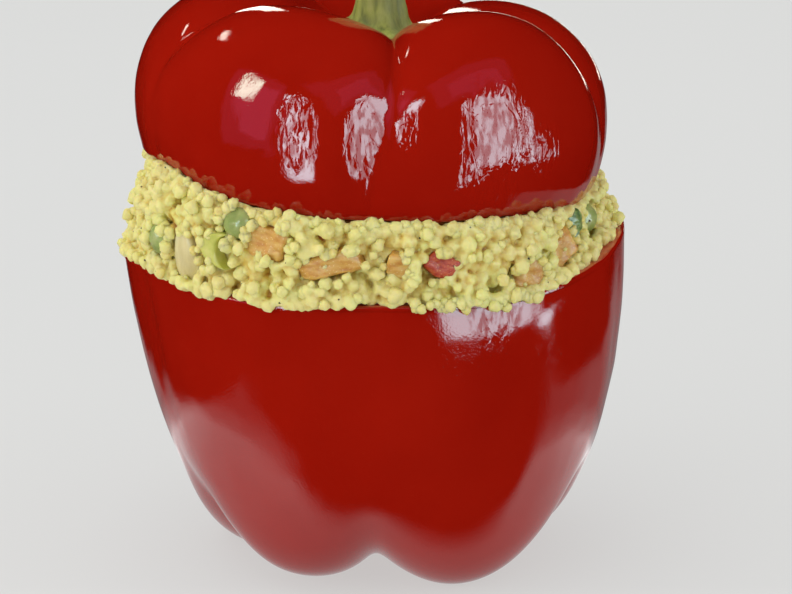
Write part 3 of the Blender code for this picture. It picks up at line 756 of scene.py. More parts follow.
def cut_form(rng, width, height, depth, taper=0.15, roundness=0.30, rough=0.05):
    """A knife-cut block: no two corners alike, edges softened by cooking, faces a little fibrous."""
    inner = np.clip(fine_cube, roundness - 1.0, 1.0 - roundness)
    ways = fine_cube - inner
    ways /= np.linalg.norm(ways, axis=1)[:, None]
    block = inner + ways * roundness
    corners = 1.0 + rng.uniform(-taper, taper, (2, 2, 2, 3))
    u = (block + 1.0) / 2.0
    warp = np.zeros_like(block)
    for x in (0, 1):
        for y in (0, 1):
            for z in (0, 1):
                share = np.abs(1 - x - u[:, 0]) * np.abs(1 - y - u[:, 1]) * np.abs(1 - z - u[:, 2])
                warp += share[:, None] * corners[x, y, z]
    block = block * warp * 0.5 * np.array((width, depth, height))
    shift = rng.uniform(-9, 9, 3)
    for index, point in enumerate(block):
        fibres = noise.noise(Vector(point / (0.0022, 0.0022, 0.0007)) + Vector(shift))
        lumps = noise.noise(Vector(point / 0.0016) + Vector(shift))
        block[index] = point + ways[index] * rough * min(width, height) * (0.5 * fibres + lumps)
    return block


def carrot_form(rng, width, height):
    return cut_form(rng, width, height, 0.9 * height, 0.34, 0.42, 0.06)


def bit_form(rng, width, height):
    return cut_form(rng, width, height, 0.9 * height, 0.36, 0.40, 0.09)


def onion_form(rng, width, height):
    """A piece of one thin layer, pointed at its upper end, bowed as the onion was round."""
    block = cut_form(rng, width, height, 0.5 * width, 0.10, 0.30, 0.012)
    rise = block[:, 2] / (0.5 * height)
    block[:, 0] *= np.clip(0.95 - 0.45 * np.maximum(0.0, rise), 0.25, 1.0)
    block[:, 1] += 0.10 * width * rise**2 + 0.25 * width * (block[:, 0] / (0.5 * width)) ** 2
    return block


def celery_form(rng, width, height):
    """A half moon cut across a thin stalk."""
    block = cut_form(rng, width, height, 0.8 * width, 0.06, 0.40, 0.015)
    rise = np.clip(block[:, 2] / (0.5 * height), -1.0, 1.0)
    bow = np.sqrt(1.0 - np.minimum(0.999, rise**2))
    block[:, 0] = block[:, 0] * (0.30 + 0.45 * bow) - width * (bow - 0.55)
    return block


def vegetable(name, points, spot, proud):
    """Beds a form in the heap's face: turned in the face, its middle so deep that it stands proud by that."""
    azimuth, share, turn = spot[:3]
    centre, faces_out = heap_point(azimuth, share)
    depth = -points[:, 1].min()
    lean = math.asin(max(-0.6, min(0.6, faces_out[2]))) * 0.7
    turned = Euler((-lean, math.radians(turn), 0.0)).to_matrix()
    turned = np.array(Euler((0.0, 0.0, math.radians(azimuth))).to_matrix() @ turned)
    placed = points @ turned.T + centre - faces_out * (depth - proud)
    mesh = new_mesh(name, placed, fine_faces.tolist())
    mesh.shade_smooth()
    piece = put_in_scene(name, mesh)
    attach(piece, "root")
    return piece


def vegetable_material(name, stops, scale, stretch, relief, glow, roughness=0.34, coat=0.5, specks=None):
    """Cooked vegetable: a wet surface over flesh that the light goes into. stops are its colours in turn,
    glow is how far the light gets in each colour."""
    material, tree, shader, coords = new_material(name)
    grown = noise_of(tree, stretched(tree, coords, stretch), scale, 4.0, 0.6)
    colour = ramp(tree, grown, stops)
    if specks:
        dots = ramp(tree, cells_of(tree, coords, 2100.0), [(0.10, 0.8), (0.24, 0.0)])
        colour = mixed(tree, dots, colour, (*specks, 1.0))
    tree.links.new(colour, shader.inputs["Base Color"])
    tree.links.new(bumped(tree, grown, relief), shader.inputs["Normal"])
    set_sockets(shader, {
        "Roughness": roughness, "Coat Weight": coat, "Coat Roughness": 0.12,
        "Subsurface Weight": 0.45, "Subsurface Radius": glow, "Subsurface Scale": 0.0022,
    })
    return material


plain = (1.0, 1.0, 1.0)
pea_skin = vegetable_material(
    "pea_green",
    [(0.30, (0.190, 0.270, 0.060)), (0.50, (0.300, 0.370, 0.110)), (0.70, (0.460, 0.490, 0.200))],
    260.0, plain, 0.0001, (0.6, 1.0, 0.3),
)
carrot_flesh = vegetable_material(
    "carrot_orange",
    [(0.30, (0.52, 0.220, 0.028)), (0.50, (0.66, 0.370, 0.075)), (0.72, (0.74, 0.520, 0.170))],
    420.0, (1.0, 1.0, 2.2), 0.00020, (1.0, 0.55, 0.15), 0.5, 0.08, specks=(0.84, 0.70, 0.36),
)
onion_flesh = vegetable_material(
    "onion_cream",
    [(0.30, (0.62, 0.52, 0.25)), (0.52, (0.72, 0.63, 0.32)), (0.75, (0.78, 0.72, 0.42))],
    240.0, (2.0, 2.0, 0.6), 0.00006, (1.0, 0.85, 0.5), 0.40, 0.25,
)
celery_flesh = vegetable_material(
    "celery_green",
    [(0.30, (0.440, 0.470, 0.075)), (0.50, (0.580, 0.590, 0.130)), (0.72, (0.700, 0.670, 0.210))],
    300.0, plain, 0.00008, (0.8, 1.0, 0.3), 0.40, 0.25,
)
red_flesh = vegetable_material(
    "pepper_bit_red",
    [(0.30, (0.36, 0.018, 0.006)), (0.52, (0.52, 0.060, 0.014)), (0.75, (0.62, 0.180, 0.045))],
    1100.0, (1.0, 1.0, 2.0), 0.0003, (1.0, 0.3, 0.1), 0.5, 0.1, specks=(0.75, 0.38, 0.16),
)
green_flesh = vegetable_material(
    "pepper_bit_green",
    [(0.30, (0.040, 0.100, 0.022)), (0.50, (0.180, 0.270, 0.070)), (0.72, (0.340, 0.410, 0.130))],
    900.0, (1.0, 1.0, 1.4), 0.0003, (0.5, 1.0, 0.3),
)

KINDS = (
    ("pea", PEAS, pea_form, PEA_PROUD, pea_skin),
    ("carrot", CARROTS, carrot_form, CUT_PROUD, carrot_flesh),
    ("onion", ONIONS, onion_form, CUT_PROUD, onion_flesh),
    ("celery", CELERY, celery_form, CUT_PROUD, celery_flesh),
    ("red_bit", RED_BITS, bit_form, CUT_PROUD, red_flesh),
    ("green_bit", GREEN_BITS, bit_form, CUT_PROUD, green_flesh),
)
vegetable_rng = np.random.default_rng(41)
vegetable_pieces = []
for kind, spots, form, proud, material in KINDS:
    for number, spot in enumerate(spots, 1):
        piece = vegetable(f"{kind}_piece_{number}", form(vegetable_rng, *spot[3:]), spot, proud)
        piece.data.materials.append(material)
        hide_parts(f"{kind}_{number}")
        vegetable_pieces.append(piece)

# ---------------------------------------------------------------------------------------------------------
# The couscous: swollen grains about two millimetres across, stuck together in nubbly clumps that hide the
# mass behind them, climb a little up the lid and hang here and there over the rim. The clumps are grains
# grown into one another; more lie loose on them and along the edges, with crumbs and specks of spice.
# ---------------------------------------------------------------------------------------------------------
GRAIN_SPACING = 0.00172
GRAIN_RADII = (0.00088, 0.00142)
HEM_RADII = (0.0008, 0.00115)  # of the grains that hang over the rim
EDGE_RADII = (0.0007, 0.0011)  # of those along the lid's edge and round the vegetables
RIM_RADII = (0.0008, 0.0012)  # of the loose ones on the rim in front
LOOSE_SPACING = 0.0031
LOOSE_RADII = (0.00085, 0.00128)
# How many of the places hold a grain, 1 for all: over the rim, along the lid's edge, loose under that edge,
# round a vegetable, and round those that show more, in front and farther right than CLEAR_FROM.
HEM_SHARE = 0.55
LID_EDGE_SHARE = 0.6
EDGING_SHARE = 0.65
EDGE_SHARE = 0.36
CLEAR_SHARE = 0.10
CLEAR_FROM = 0.036
EDGE_REACH = 0.0005  # how far a loose bit's middle may be from what it lies on
RIM_REACH = 0.0008
CRUMB_REACH = 0.0002
SPECK_REACH = 0.00005
OPEN_STRETCH = (48.0, 78.0)  # azimuths where no loose grains lie on the upper half, so that the greens show
CRUMB_SPACING = 0.0038
CRUMB_RADII = (0.0003, 0.0006)
SPECK_SPACING = 0.0058
SPECK_RADII = (0.00010, 0.00020)
CLUMP_SPACING = 0.0043
CLUMP_EDGE = 0.0010  # how wide a clump's rounded edge is
CREVICE_DEPTH = 0.0019  # how deep and how wide the cracks between the clumps are
CREVICE_WIDTH = 0.00065
GRAIN_CREVICE = 0.40  # the grains, and the loose ones, stay out of cracks more open than this
LOOSE_CREVICE = 0.30
TONE = 0.42  # a grain's tone on the plain face, and how much paler it is painted for each metre it rises: painted light on the clumps, painted shade down the cracks
PAINTED_LIGHT_BY_RISE = 120.0
MELD = 0.00030  # how fine the clumps' surface is
MELD_ROUNDS = 1  # how often the grains' joins are smoothed
NUBBLES = ((0.00080, 0.00013), (0.00045, 0.00008))  # the clumps' fine relief: spread, height
PAINTED_LIGHT_BULGE = 0.0008  # how far a point stands out from its neighbours where it is painted palest: painted light on bulges, painted shade in hollows
BACKING_DEPTH = 0.0010  # how deep the clumps' backing lies behind the grains
BACKING_THICK = 0.0030
SECTOR = HEAP_STEPS // 3  # the clumps come in three pieces side by side
grain_rng = np.random.default_rng(7)
noise.seed_set(7)  # so that the cracks bend the same way each time


def scattered(spacing, tries, lowest, highest):
    """Places over the heap's face, no two of them closer than the spacing: azimuth, share, point, way out."""
    cells, kept = {}, []
    around = [(i, j, k) for i in (-1, 0, 1) for j in (-1, 0, 1) for k in (-1, 0, 1)]
    for azimuth, share in zip(grain_rng.uniform(0, 360, tries), grain_rng.uniform(lowest, highest, tries)):
        point, faces_out = heap_point(azimuth, share)
        cell = tuple(int(c // spacing) for c in point)
        near = [p for i, j, k in around for p in cells.get((cell[0] + i, cell[1] + j, cell[2] + k), ())]
        gaps = ((p[0] - point[0]) ** 2 + (p[1] - point[1]) ** 2 + (p[2] - point[2]) ** 2 for p in near)
        if all(gap > spacing**2 for gap in gaps):
            cells.setdefault(cell, []).append(point)
            kept.append((azimuth, share, point, faces_out))
    return kept


clumps = scattered(CLUMP_SPACING, 5000, 0.0, 1.0)
clump_heights = grain_rng.uniform(0.0004, 0.0024, len(clumps))
clump_tree = KDTree(len(clumps))
for index, place in enumerate(clumps):
    clump_tree.insert(place[2], index)
clump_tree.balance()


def crevice_at(point):
    """The clump that a point belongs to, how far the point is from the next one, and how open the crack
    between them is there, 0 to 1."""
    spot = Vector(point) + 0.0011 * noise.noise_vector(Vector(point) / 0.0022)
    (_, clump, near), (_, _, far) = clump_tree.find_n(spot, 2)
    opened = min(1.0, max(0.0, 0.55 + 1.8 * noise.noise(Vector(point) / 0.007)))
    return clump, far - near, opened * math.exp(-(((far - near) / CREVICE_WIDTH) ** 2))


def clump_rise(point):
    """How far the clump under a point lifts it off the heap's face; below 0 in a crevice."""
    clump, margin, crevice = crevice_at(point)
    lift = clump_heights[clump] * (1.0 - math.exp(-margin / CLUMP_EDGE))
    return lift - CREVICE_DEPTH * crevice


vegetable_spots = []
for kind, spots, form, proud, material in KINDS:
    for azimuth, share, turn, width, height in spots:
        centre, faces_out = heap_point(azimuth, share)
        turned = Euler((0.0, math.radians(turn), math.radians(azimuth))).to_matrix()
        across, upwards = np.array(turned @ Vector((1, 0, 0))), np.array(turned @ Vector((0, 0, 1)))
        vegetable_spots.append((centre, faces_out, across, upwards, width, height))


def over_vegetable(point, radius):
    for centre, faces_out, across, upwards, width, height in vegetable_spots:
        away = point - centre
        if abs(away @ faces_out) < 0.006:
            margin = grain_rng.uniform(-0.7, 0.8) * radius
            x = abs(away @ across) / (0.5 * width + margin)
            z = abs(away @ upwards) / (0.5 * height + margin)
            if x**3 + z**3 < 1.0:
                return True
    return False


def grain_shapes(cuts, count, lumpiness):
    """A few different grains of radius 1, as points over the same faces."""
    points, faces = sphere_of_squares(cuts)
    ways = points / np.linalg.norm(points, axis=1)[:, None]
    shapes = []
    for _ in range(count):
        shift = grain_rng.uniform(-9, 9, 3)
        sizes = np.empty(len(ways))
        for index, way in enumerate(ways):
            sizes[index] = 1.0 + lumpiness * noise.noise(Vector(way * 1.5 + shift))
            sizes[index] += 0.35 * lumpiness * noise.noise(Vector(way * 3.6 + shift))
        shapes.append(ways * sizes[:, None] * grain_rng.uniform(0.76, 1.18, 3))
    return np.array(shapes), faces


def turned_any_way(count):
    """count rotation matrices, spread evenly over all ways of turning a grain."""
    q = grain_rng.normal(size=(count, 4))
    w, x, y, z = (q / np.linalg.norm(q, axis=1)[:, None]).T
    rows = (
        (1 - 2 * (y * y + z * z), 2 * (x * y - w * z), 2 * (x * z + w * y)),
        (2 * (x * y + w * z), 1 - 2 * (x * x + z * z), 2 * (y * z - w * x)),
        (2 * (x * z - w * y), 2 * (y * z + w * x), 1 - 2 * (x * x + y * y)),
    )
    return np.moveaxis(np.array(rows), 2, 0)


def bits_of(grains, shapes, faces):
    """Points and faces of many bits, each one of the shapes, turned any way. A grain is its middle, its
    radius and its tone."""
    middles = np.array([grain[0] for grain in grains])
    radii = np.array([grain[1] for grain in grains])
    chosen = shapes[grain_rng.integers(0, len(shapes), len(middles))]
    points = np.einsum("nij,nvj->nvi", turned_any_way(len(middles)), chosen) * radii[:, None, None]
    points += middles[:, None, :]
    all_faces = faces[None] + (np.arange(len(middles)) * shapes.shape[1])[:, None, None]
    return points.reshape(-1, 3), all_faces.reshape(-1, faces.shape[1]).tolist()


def toned_piece(name, mesh, tones_and_shades, material):
    mesh.shade_smooth()
    shades = mesh.attributes.new("tone_and_shade", "FLOAT", "POINT")
    shades.data.foreach_set("value", np.asarray(tones_and_shades, dtype=np.float32))
    mesh.materials.clear()
    mesh.materials.append(material)
    piece = put_in_scene(name, mesh)
    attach(piece, "root")
    return piece


def loose_bits(name, grains, shapes, faces, material):
    """One piece made of many separate bits."""
    points, all_faces = bits_of(grains, shapes, faces)
    tones_and_shades = np.repeat([grain[2] for grain in grains], shapes.shape[1])
    return toned_piece(name, new_mesh(name, points, all_faces), tones_and_shades, material)


def backing(first, last, across=52):
    """A closed slab behind the grains that follows the clumps, between two of the heap's steps round."""
    front, back = [], []
    steps = np.linspace(first, last, 2 * (last - first) + 1)
    for step in steps:
        for share in np.linspace(0.02, 0.99, across):
            point, faces_out = heap_point(360.0 * step / HEAP_STEPS, share)
            rise = -0.0012 if over_vegetable(point, 0.0) else clump_rise(point)
            front.append(point + faces_out * (rise - BACKING_DEPTH))
            back.append(point - faces_out * (BACKING_DEPTH + BACKING_THICK))
    around = len(steps)
    faces = []
    for i in range(around - 1):
        for a in range(i * across, (i + 1) * across - 1):
            faces.append((a, a + across, a + across + 1, a + 1))
            faces.append(tuple(n + len(front) for n in (a, a + 1, a + across + 1, a + across)))
    rim = [i * across for i in range(around)]
    rim += [(around - 1) * across + j for j in range(1, across)]
    rim += [i * across + across - 1 for i in range(around - 2, -1, -1)]
    rim += list(range(across - 2, 0, -1))
    for a, b in zip(rim, rim[1:] + rim[:1]):
        faces.append((a, a + len(front), b + len(front), b))
    return np.array(front + back), faces


def grown_together(name, points, faces):
    """One closed skin round all the grains and their backing, a little smoothed where they join."""
    apart = put_in_scene(name + "_grains", new_mesh(name + "_grains", points, faces))
    meld = apart.modifiers.new("meld", "REMESH")
    meld.mode = "VOXEL"
    meld.voxel_size = MELD
    soften = apart.modifiers.new("soften", "SMOOTH")
    soften.iterations = MELD_ROUNDS
    soften.factor = 0.5
    bpy.context.view_layer.update()
    melded = bpy.data.meshes.new_from_object(apart.evaluated_get(bpy.context.evaluated_depsgraph_get()))
    melded.name = name
    bpy.data.objects.remove(apart)
    return melded


def read_all(items, attribute, width, kind=float):
    """One attribute of all of a mesh's points or edges, a row for each."""
    values = np.empty(width * len(items), dtype=kind)
    items.foreach_get(attribute, values)
    return values.reshape(-1, width)


def evened(at, edges, rounds=7):
    """Where the points would lie on a smoother skin: each is moved to its neighbours' middle, many times."""
    count = len(at)
    a, b = edges.T
    meets = np.bincount(a, minlength=count) + np.bincount(b, minlength=count)
    for _ in range(rounds):
        sums = []
        for axis in range(3):
            sums.append(np.bincount(a, at[b, axis], count) + np.bincount(b, at[a, axis], count))
        at = np.stack(sums, axis=1) / meets[:, None]
    return at


def clumped(name, grains, shapes, faces, first, last, material):
    """One piece of grains grown into one another, in front of a backing that closes it behind. What stands
    out is painted paler and what lies in a hollow darker: painted light and painted shade."""
    points, all_faces = bits_of(grains, shapes, faces)
    slab, slab_faces = backing(first, last)
    all_faces += [tuple(n + len(points) for n in face) for face in slab_faces]
    melded = grown_together(name, np.vstack((points, slab)), all_faces)
    at = read_all(melded.vertices, "co", 3)
    ways = read_all(melded.vertex_normals, "vector", 3)
    edges = read_all(melded.edges, "vertices", 2, int)
    # painted light and shade: how far each point stands out from its smoothed neighbours
    stands = np.einsum("nj,nj->n", at - evened(at, edges), ways)
    for spread, height in NUBBLES:
        at += ways * np.array([height * noise.noise(Vector(point) / spread) for point in at])[:, None]
    melded.vertices.foreach_set("co", at.ravel())
    tree = KDTree(len(grains))
    for index, grain in enumerate(grains):
        tree.insert(grain[0], index)
    tree.balance()
    tones_and_shades = np.array([grains[tree.find(point)[1]][2] for point in at])
    return toned_piece(name, melded, np.clip(tones_and_shades + stands / PAINTED_LIGHT_BULGE, 0.0, 1.0), material)


grain_colour = couscous_look("couscous_grain", (0.80, 0.725, 0.285), DEEP_GRAIN, (0.42, 0.115, 0.008))
outer_shapes, outer_faces = grain_shapes(3, 9, 0.34)

clumped_grains = []
for azimuth, share, point, faces_out in scattered(GRAIN_SPACING, 40000, 0.0, 0.95):
    radius = grain_rng.uniform(*GRAIN_RADII)
    rise = clump_rise(point)
    middle = point + faces_out * (rise - 0.0008 + grain_rng.uniform(-0.0005, 0.0005))
    if crevice_at(point)[2] < GRAIN_CREVICE and not over_vegetable(middle, radius):
        # painted light and shade: a grain is paler the higher its clump rises and darker down a crack
        tone_and_shade = TONE + PAINTED_LIGHT_BY_RISE * rise + grain_rng.uniform(-0.12, 0.12)
        clumped_grains.append((azimuth, middle, radius, tone_and_shade))
for azimuth in np.arange(0.0, 360.0, 0.5):  # over the rim
    drop = hem(azimuth)
    if drop > 0.0001 and grain_rng.uniform() < HEM_SHARE:
        middle = heap_point(azimuth, 0.0)[0] + direction(azimuth) * grain_rng.uniform(0.0, 0.0009)
        middle[2] -= grain_rng.uniform(-0.0006, max(0.0, drop - 0.0008))
        clumped_grains.append((azimuth, middle, grain_rng.uniform(*HEM_RADII), grain_rng.uniform(0.45, 0.8)))
for azimuth in np.arange(0.0, 360.0, 0.5):  # along the lid's edge
    if grain_rng.uniform() < LID_EDGE_SHARE:
        point = heap_point(azimuth, grain_rng.uniform(0.86, 0.94))[0]
        middle = point + direction(azimuth) * grain_rng.uniform(-0.0004, 0.0004)
        clumped_grains.append((azimuth, middle, grain_rng.uniform(*EDGE_RADII), grain_rng.uniform(0.4, 0.75)))

bedding = list(vegetable_pieces)  # what the loose bits lie on
for name, first in (("couscous_front", -80), ("couscous_right", 80), ("couscous_left", 240)):
    near = []
    for azimuth, *grain in clumped_grains:
        if (azimuth * HEAP_STEPS / 360.0 - first) % HEAP_STEPS < SECTOR:
            near.append(grain)
    bedding.append(clumped(name, near, outer_shapes, outer_faces, first, first + SECTOR, grain_colour))
bed_points = []
bed_faces = []
for piece in bedding:
    start = len(bed_points)
    bed_points += [vertex.co.copy() for vertex in piece.data.vertices]
    bed_faces += [tuple(start + n for n in face.vertices) for face in piece.data.polygons]
bed = BVHTree.FromPolygons(bed_points, bed_faces)


def laid_on(middle, reach):
    """A loose bit's middle, brought so near to what it lies on that it touches it."""
    under, _, _, gap = bed.find_nearest(Vector(middle))
    return np.array(middle) if gap <= reach else np.array(under + (Vector(middle) - under) * (reach / gap))


loose = []
for azimuth, share, point, faces_out in scattered(LOOSE_SPACING, 20000, 0.0, 0.95):
    radius = grain_rng.uniform(*LOOSE_RADII)
    middle = point + faces_out * (clump_rise(point) + grain_rng.uniform(-0.0003, 0.0004))
    bare = OPEN_STRETCH[0] < azimuth < OPEN_STRETCH[1] and share > 0.45
    if not bare and crevice_at(point)[2] < LOOSE_CREVICE and not over_vegetable(middle, radius):
        loose.append((laid_on(middle, 0.6 * radius), radius, grain_rng.uniform(0.55, 0.95)))
for centre, faces_out, across, upwards, width, height in vegetable_spots:  # over the vegetables' edges
    share = CLEAR_SHARE if centre[0] > CLEAR_FROM and centre[1] < 0.0 else EDGE_SHARE
    for angle in np.arange(0.0, 6.2, 1.6 / (1000.0 * (width + height) / 2)):
        if grain_rng.uniform() < share:
            aside = 0.5 * width * math.cos(angle) * across + 0.5 * height * math.sin(angle) * upwards
            middle = centre + grain_rng.uniform(0.95, 1.25) * aside
            middle = laid_on(middle + grain_rng.uniform(0.0, 0.0009) * faces_out, EDGE_REACH)
            loose.append((middle, grain_rng.uniform(*EDGE_RADII), grain_rng.uniform(0.5, 0.9)))
loose_shapes, loose_faces = grain_shapes(4, 6, 0.34)

edging = []
for azimuth in np.arange(0.0, 360.0, 2.0):  # close under the lid's edge
    point, faces_out = heap_point(azimuth + grain_rng.uniform(-0.8, 0.8), grain_rng.uniform(0.89, 0.97))
    middle = point + grain_rng.uniform(0.0, 0.0007) * faces_out
    bare = OPEN_STRETCH[0] < azimuth < OPEN_STRETCH[1]
    if not bare and grain_rng.uniform() < EDGING_SHARE and not over_vegetable(middle, 0.001):
        middle = laid_on(middle, EDGE_REACH)
        edging.append((middle, grain_rng.uniform(*EDGE_RADII), grain_rng.uniform(0.5, 0.85)))
for azimuth in np.arange(9.0, 39.0, 1.1):  # and over the rim in front
    middle = cup_skin(azimuth)[-1] + direction(azimuth) * grain_rng.uniform(-0.0003, 0.0008)
    middle[2] += grain_rng.uniform(-0.0013, 0.0010)
    if noise.noise(Vector((azimuth / 4.0, 3.0, 0.0))) > -0.15:
        middle = laid_on(middle, RIM_REACH)
        edging.append((middle, grain_rng.uniform(*RIM_RADII), grain_rng.uniform(0.55, 0.9)))
loose_bits("couscous_edging", edging, outer_shapes, outer_faces, grain_colour)
loose_bits("couscous_loose", loose, loose_shapes, loose_faces, grain_colour)

crumb_shapes, crumb_faces = grain_shapes(2, 5, 0.5)
crumbs = []
for azimuth, share, point, faces_out in scattered(CRUMB_SPACING, 20000, 0.0, 1.0):
    middle = point + faces_out * (clump_rise(point) - 0.0004 + grain_rng.uniform(-0.0009, 0.0002))
    middle = laid_on(middle, CRUMB_REACH)
    crumbs.append((middle, grain_rng.uniform(*CRUMB_RADII), grain_rng.uniform(0.4, 0.9)))
loose_bits("couscous_crumbs", crumbs, crumb_shapes, crumb_faces, grain_colour)

spice, tree, shader, coords = new_material("ground_spice")
browns = [(0.4, (0.012, 0.007, 0.004)), (0.6, (0.07, 0.03, 0.012))]
tree.links.new(ramp(tree, noise_of(tree, coords, 900.0), browns), shader.inputs["Base Color"])
set_sockets(shader, {"Roughness": 0.7})
specks = []
for azimuth, share, point, faces_out in scattered(SPECK_SPACING, 4000, 0.0, 1.0):
    middle = point + faces_out * (clump_rise(point) + grain_rng.uniform(-0.0004, 0.0001))
    specks.append((laid_on(middle, SPECK_REACH), grain_rng.uniform(*SPECK_RADII), 0.0))
loose_bits("spice_specks", specks, crumb_shapes, crumb_faces, spice)

# ---------------------------------------------------------------------------------------------------------
# The studio: a plain pale floor that glows a little, painted light that lightens the shade round the
# pepper, broad soft light from overhead and the left, tall window-like lights that the oiled skin mirrors,
# dim rosy walls, a glowing card that the skin mirrors in the floor's place, a painted reflection, and the
# camera a little above the pepper's shoulder.
# ---------------------------------------------------------------------------------------------------------
FLOOR_REACH = 3.0
MIRRORED_FLOOR = (  # outline of a glowing card that only the skin's gloss sees, a painted reflection of the floor
    (-0.085, -0.074), (0.130, -0.074), (0.130, 0.150), (0.170, 0.350), (0.170, 0.700), (-0.150, 0.700),
    (-0.150, 0.350), (-0.085, 0.150),
)
FLOOR_PAINTED_LIGHT = 0.59  # the floor glows, painted light that lightens the shade round the pepper, the most in front
FLOOR_TURN = (-0.045, -0.02)  # from where to where its glow drops, front to back
# How bright the card is, 1 for the brightest, at each distance from the pepper's middle; it is dimmer
# close to the pepper, painted shade for the pepper's shadow in the mirrored floor.
CARD_GLOW = (
    (0.026, 0.30), (0.036, 0.26), (0.046, 0.28), (0.056, 0.35), (0.066, 0.46), (0.072, 0.52),
    (0.078, 0.28), (0.095, 0.12),
)
CARD_BRIGHTNESS = 1.95
CARD_MIDDLE = (-0.002, 0.0, 0.0)
CARD_STRETCH = (0.95, 1.35, 0.0)
# How far forward the card reaches at each place across, and half the width of its soft front edge.
CARD_FRONT = (
    (-0.090, -0.066), (-0.055, -0.064), (-0.036, -0.056), (-0.016, -0.044), (0.030, -0.034),
    (0.052, -0.030), (0.075, -0.032), (0.110, -0.038),
)
CARD_FADE = 0.005
LIGHT_FAR = 1.0
LIGHT_AIM = Vector((0.0, 0.0, 0.08))
WHITE = (1.0, 0.99, 0.97)
SKY = (0.68, 0.90, 1.0)
ROSE = (1.0, 0.2, 0.45)
WARM = (0.78, 1.0, 0.80)
CREAM = (1.0, 0.92, 0.78)
CAMERA_PITCH = 16.0
CAMERA_AIM = Vector((0.0037, 0.0, 0.0468))
CAMERA_FAR = 0.486
CAMERA_LENS = 122.7

floor_look, tree, shader, coords = new_material("floor_pale")
greys = [(0.3, (0.195, 0.2, 0.2)), (0.7, (0.21, 0.215, 0.215))]
tree.links.new(ramp(tree, noise_of(tree, coords, 2.0), greys), shader.inputs["Base Color"])
depthwise = wire(tree, "SeparateXYZ", {0: coords}).outputs["Y"]
back = faded(tree, depthwise, *FLOOR_TURN, "SMOOTHSTEP")
glows = [(0.0, (1.0, 1.0, 0.985)), (1.0, (0.89, 0.89, 0.877))]
# painted light: the floor's glow, a little brighter in front of the pepper
tree.links.new(ramp(tree, back, glows), shader.inputs["Emission Color"])
set_sockets(shader, {"Roughness": 0.6, "Specular IOR Level": 0.0, "Emission Strength": FLOOR_PAINTED_LIGHT})

# painted reflection: a glowing card in the floor's place that only the skin's gloss sees
card_look, tree, shader, coords = new_material("painted_floor_reflection")
beside = stretched(tree, moved(tree, coords, CARD_MIDDLE), CARD_STRETCH)
far = maths(tree, "MULTIPLY", length_of(tree, beside), 10.0)
glow = ramp(tree, far, [(10.0 * distance, share) for distance, share in CARD_GLOW])
place = wire(tree, "SeparateXYZ", {0: coords})
sideways = maths(tree, "MULTIPLY_ADD", place.outputs["X"], 4.0, 0.5)
front = ramp(tree, sideways, [(4.0 * x + 0.5, -10.0 * y) for x, y in CARD_FRONT])
behind_front = maths(tree, "MULTIPLY_ADD", place.outputs["Y"], 10.0, front)
shown = faded(tree, behind_front, -10.0 * CARD_FADE, 10.0 * CARD_FADE, "SMOOTHSTEP")
lit = wire(tree, "VectorMath", {0: glow, "Scale": shown}, operation="SCALE").outputs["Vector"]
tree.links.new(lit, shader.inputs["Emission Color"])
set_sockets(shader, {
    "Emission Strength": CARD_BRIGHTNESS, "Base Color": (0.0, 0.0, 0.0, 1.0), "Specular IOR Level": 0.0,
})


def floor_piece(name, outline, look, height=0.0):
    mesh = new_mesh(name, [(x, y, height) for x, y in outline], [tuple(range(len(outline)))])
    mesh.materials.append(look)
    piece = put_in_scene(name, mesh)
    return piece


corners = [(x * FLOOR_REACH, y * FLOOR_REACH) for x, y in ((-1, -1), (1, -1), (1, 1), (-1, 1))]
floor = floor_piece("floor", corners, floor_look)
floor.visible_glossy = False
mirrored_floor = floor_piece("mirrored_floor", MIRRORED_FLOOR, card_look, 0.0002)
mirrored_floor.visible_camera = False
mirrored_floor.visible_diffuse = False
mirrored_floor.visible_shadow = False


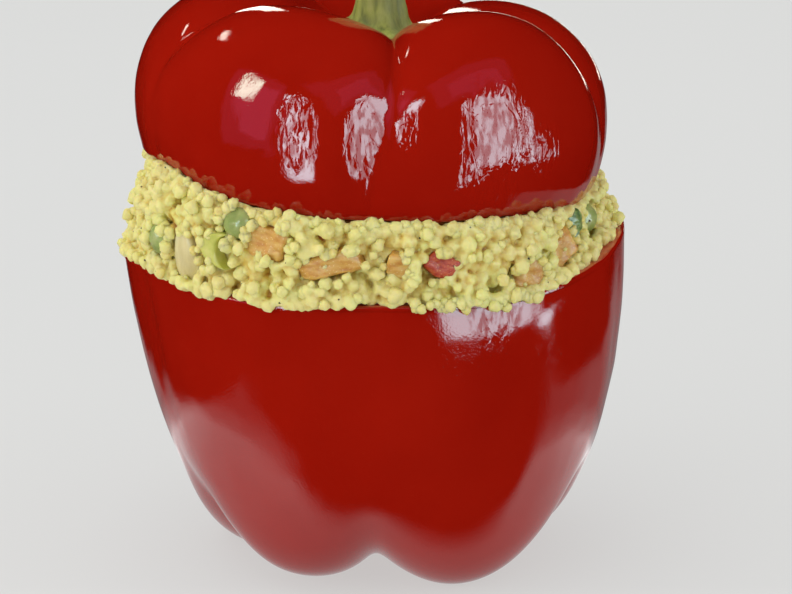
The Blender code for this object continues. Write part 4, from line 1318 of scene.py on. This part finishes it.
def soft_light(name, azimuth, height, wide, tall, watts, colour, lean=0.0, mirrored=True, shines=True):
    """A square-cornered light that faces the pepper from a compass point: all angles in degrees as seen
    from the lid. mirrored lights show in the skin's gloss; those that shine also light what is dull."""
    light = bpy.data.lights.new(name, "AREA")
    light.shape = "RECTANGLE"
    light.size = 2 * LIGHT_FAR * math.tan(math.radians(wide / 2))
    light.size_y = 2 * LIGHT_FAR * math.tan(math.radians(tall / 2))
    light.energy = watts
    light.color = colour
    lamp = put_in_scene(name, light)
    away = Vector(direction(azimuth)) * math.cos(math.radians(height))
    away.z = math.sin(math.radians(height))
    lamp.location = LIGHT_AIM + LIGHT_FAR * away
    turned = away.to_track_quat("Z", "Y") @ Euler((0.0, 0.0, math.radians(lean))).to_quaternion()
    lamp.rotation_euler = turned.to_euler()
    lamp.visible_glossy = mirrored
    lamp.visible_diffuse = shines
    lamp.visible_camera = False


soft_light("overhead", -110, 68, 60, 60, 3.9, WHITE, mirrored=False)
soft_light("front_fill", -50, 10, 50, 44, 4.0, WHITE, mirrored=False)
soft_light("right_fill", 84, 4, 50, 44, 2.4, WHITE, mirrored=False)
soft_light("window_far_left", -27, 12, 10.5, 46, 5.4, SKY, shines=False)
soft_light("window_right", 48.5, 6, 44, 46, 17.0, SKY, lean=7, shines=False)
soft_light("window_edge", 76, -1, 2.5, 20, 0.5, SKY, shines=False)
soft_light("window_corner", 83, -15, 11, 9, 0.8, SKY, shines=False)
soft_light("lamp_left", -64.5, 32, 4.5, 20, 1.25, WARM, lean=-3, shines=False)
soft_light("wall_left", -56, 20, 36, 50, 0.80, ROSE, shines=False)
soft_light("wall_left_middle", -54, 20, 24, 36, 0.75, ROSE, shines=False)
soft_light("wall_above", 34, 48, 70, 36, 0.9, ROSE, shines=False)
soft_light("wall_above_middle", 36, 45, 46, 20, 0.4, ROSE, shines=False)
soft_light("lamp_behind", -172, 15, 5, 24, 0.6, CREAM, shines=False)
soft_light("lamp_behind_high", -131, 41, 8, 1.8, 0.16, CREAM, shines=False)
soft_light("lamp_behind_low", 168, -4, 22, 1.2, 0.12, CREAM, shines=False)

world = bpy.data.worlds.new("studio_air")
world.use_nodes = True
set_sockets(world.node_tree.nodes["Background"], {"Color": (1.0, 1.0, 0.99, 1.0), "Strength": 0.68})
bpy.context.scene.world = world
world.cycles_visibility.glossy = False
bpy.context.scene.view_settings.view_transform = "Standard"

camera_data = bpy.data.cameras.new("camera")
camera_data.lens = CAMERA_LENS
camera_data.clip_start = 0.01
camera = put_in_scene("camera", camera_data)
pitch = math.radians(CAMERA_PITCH)
camera.location = CAMERA_AIM + CAMERA_FAR * Vector((0.0, -math.cos(pitch), math.sin(pitch)))
camera.rotation_euler = (0.5 * math.pi - pitch, 0.0, 0.0)
bpy.context.scene.camera = camera
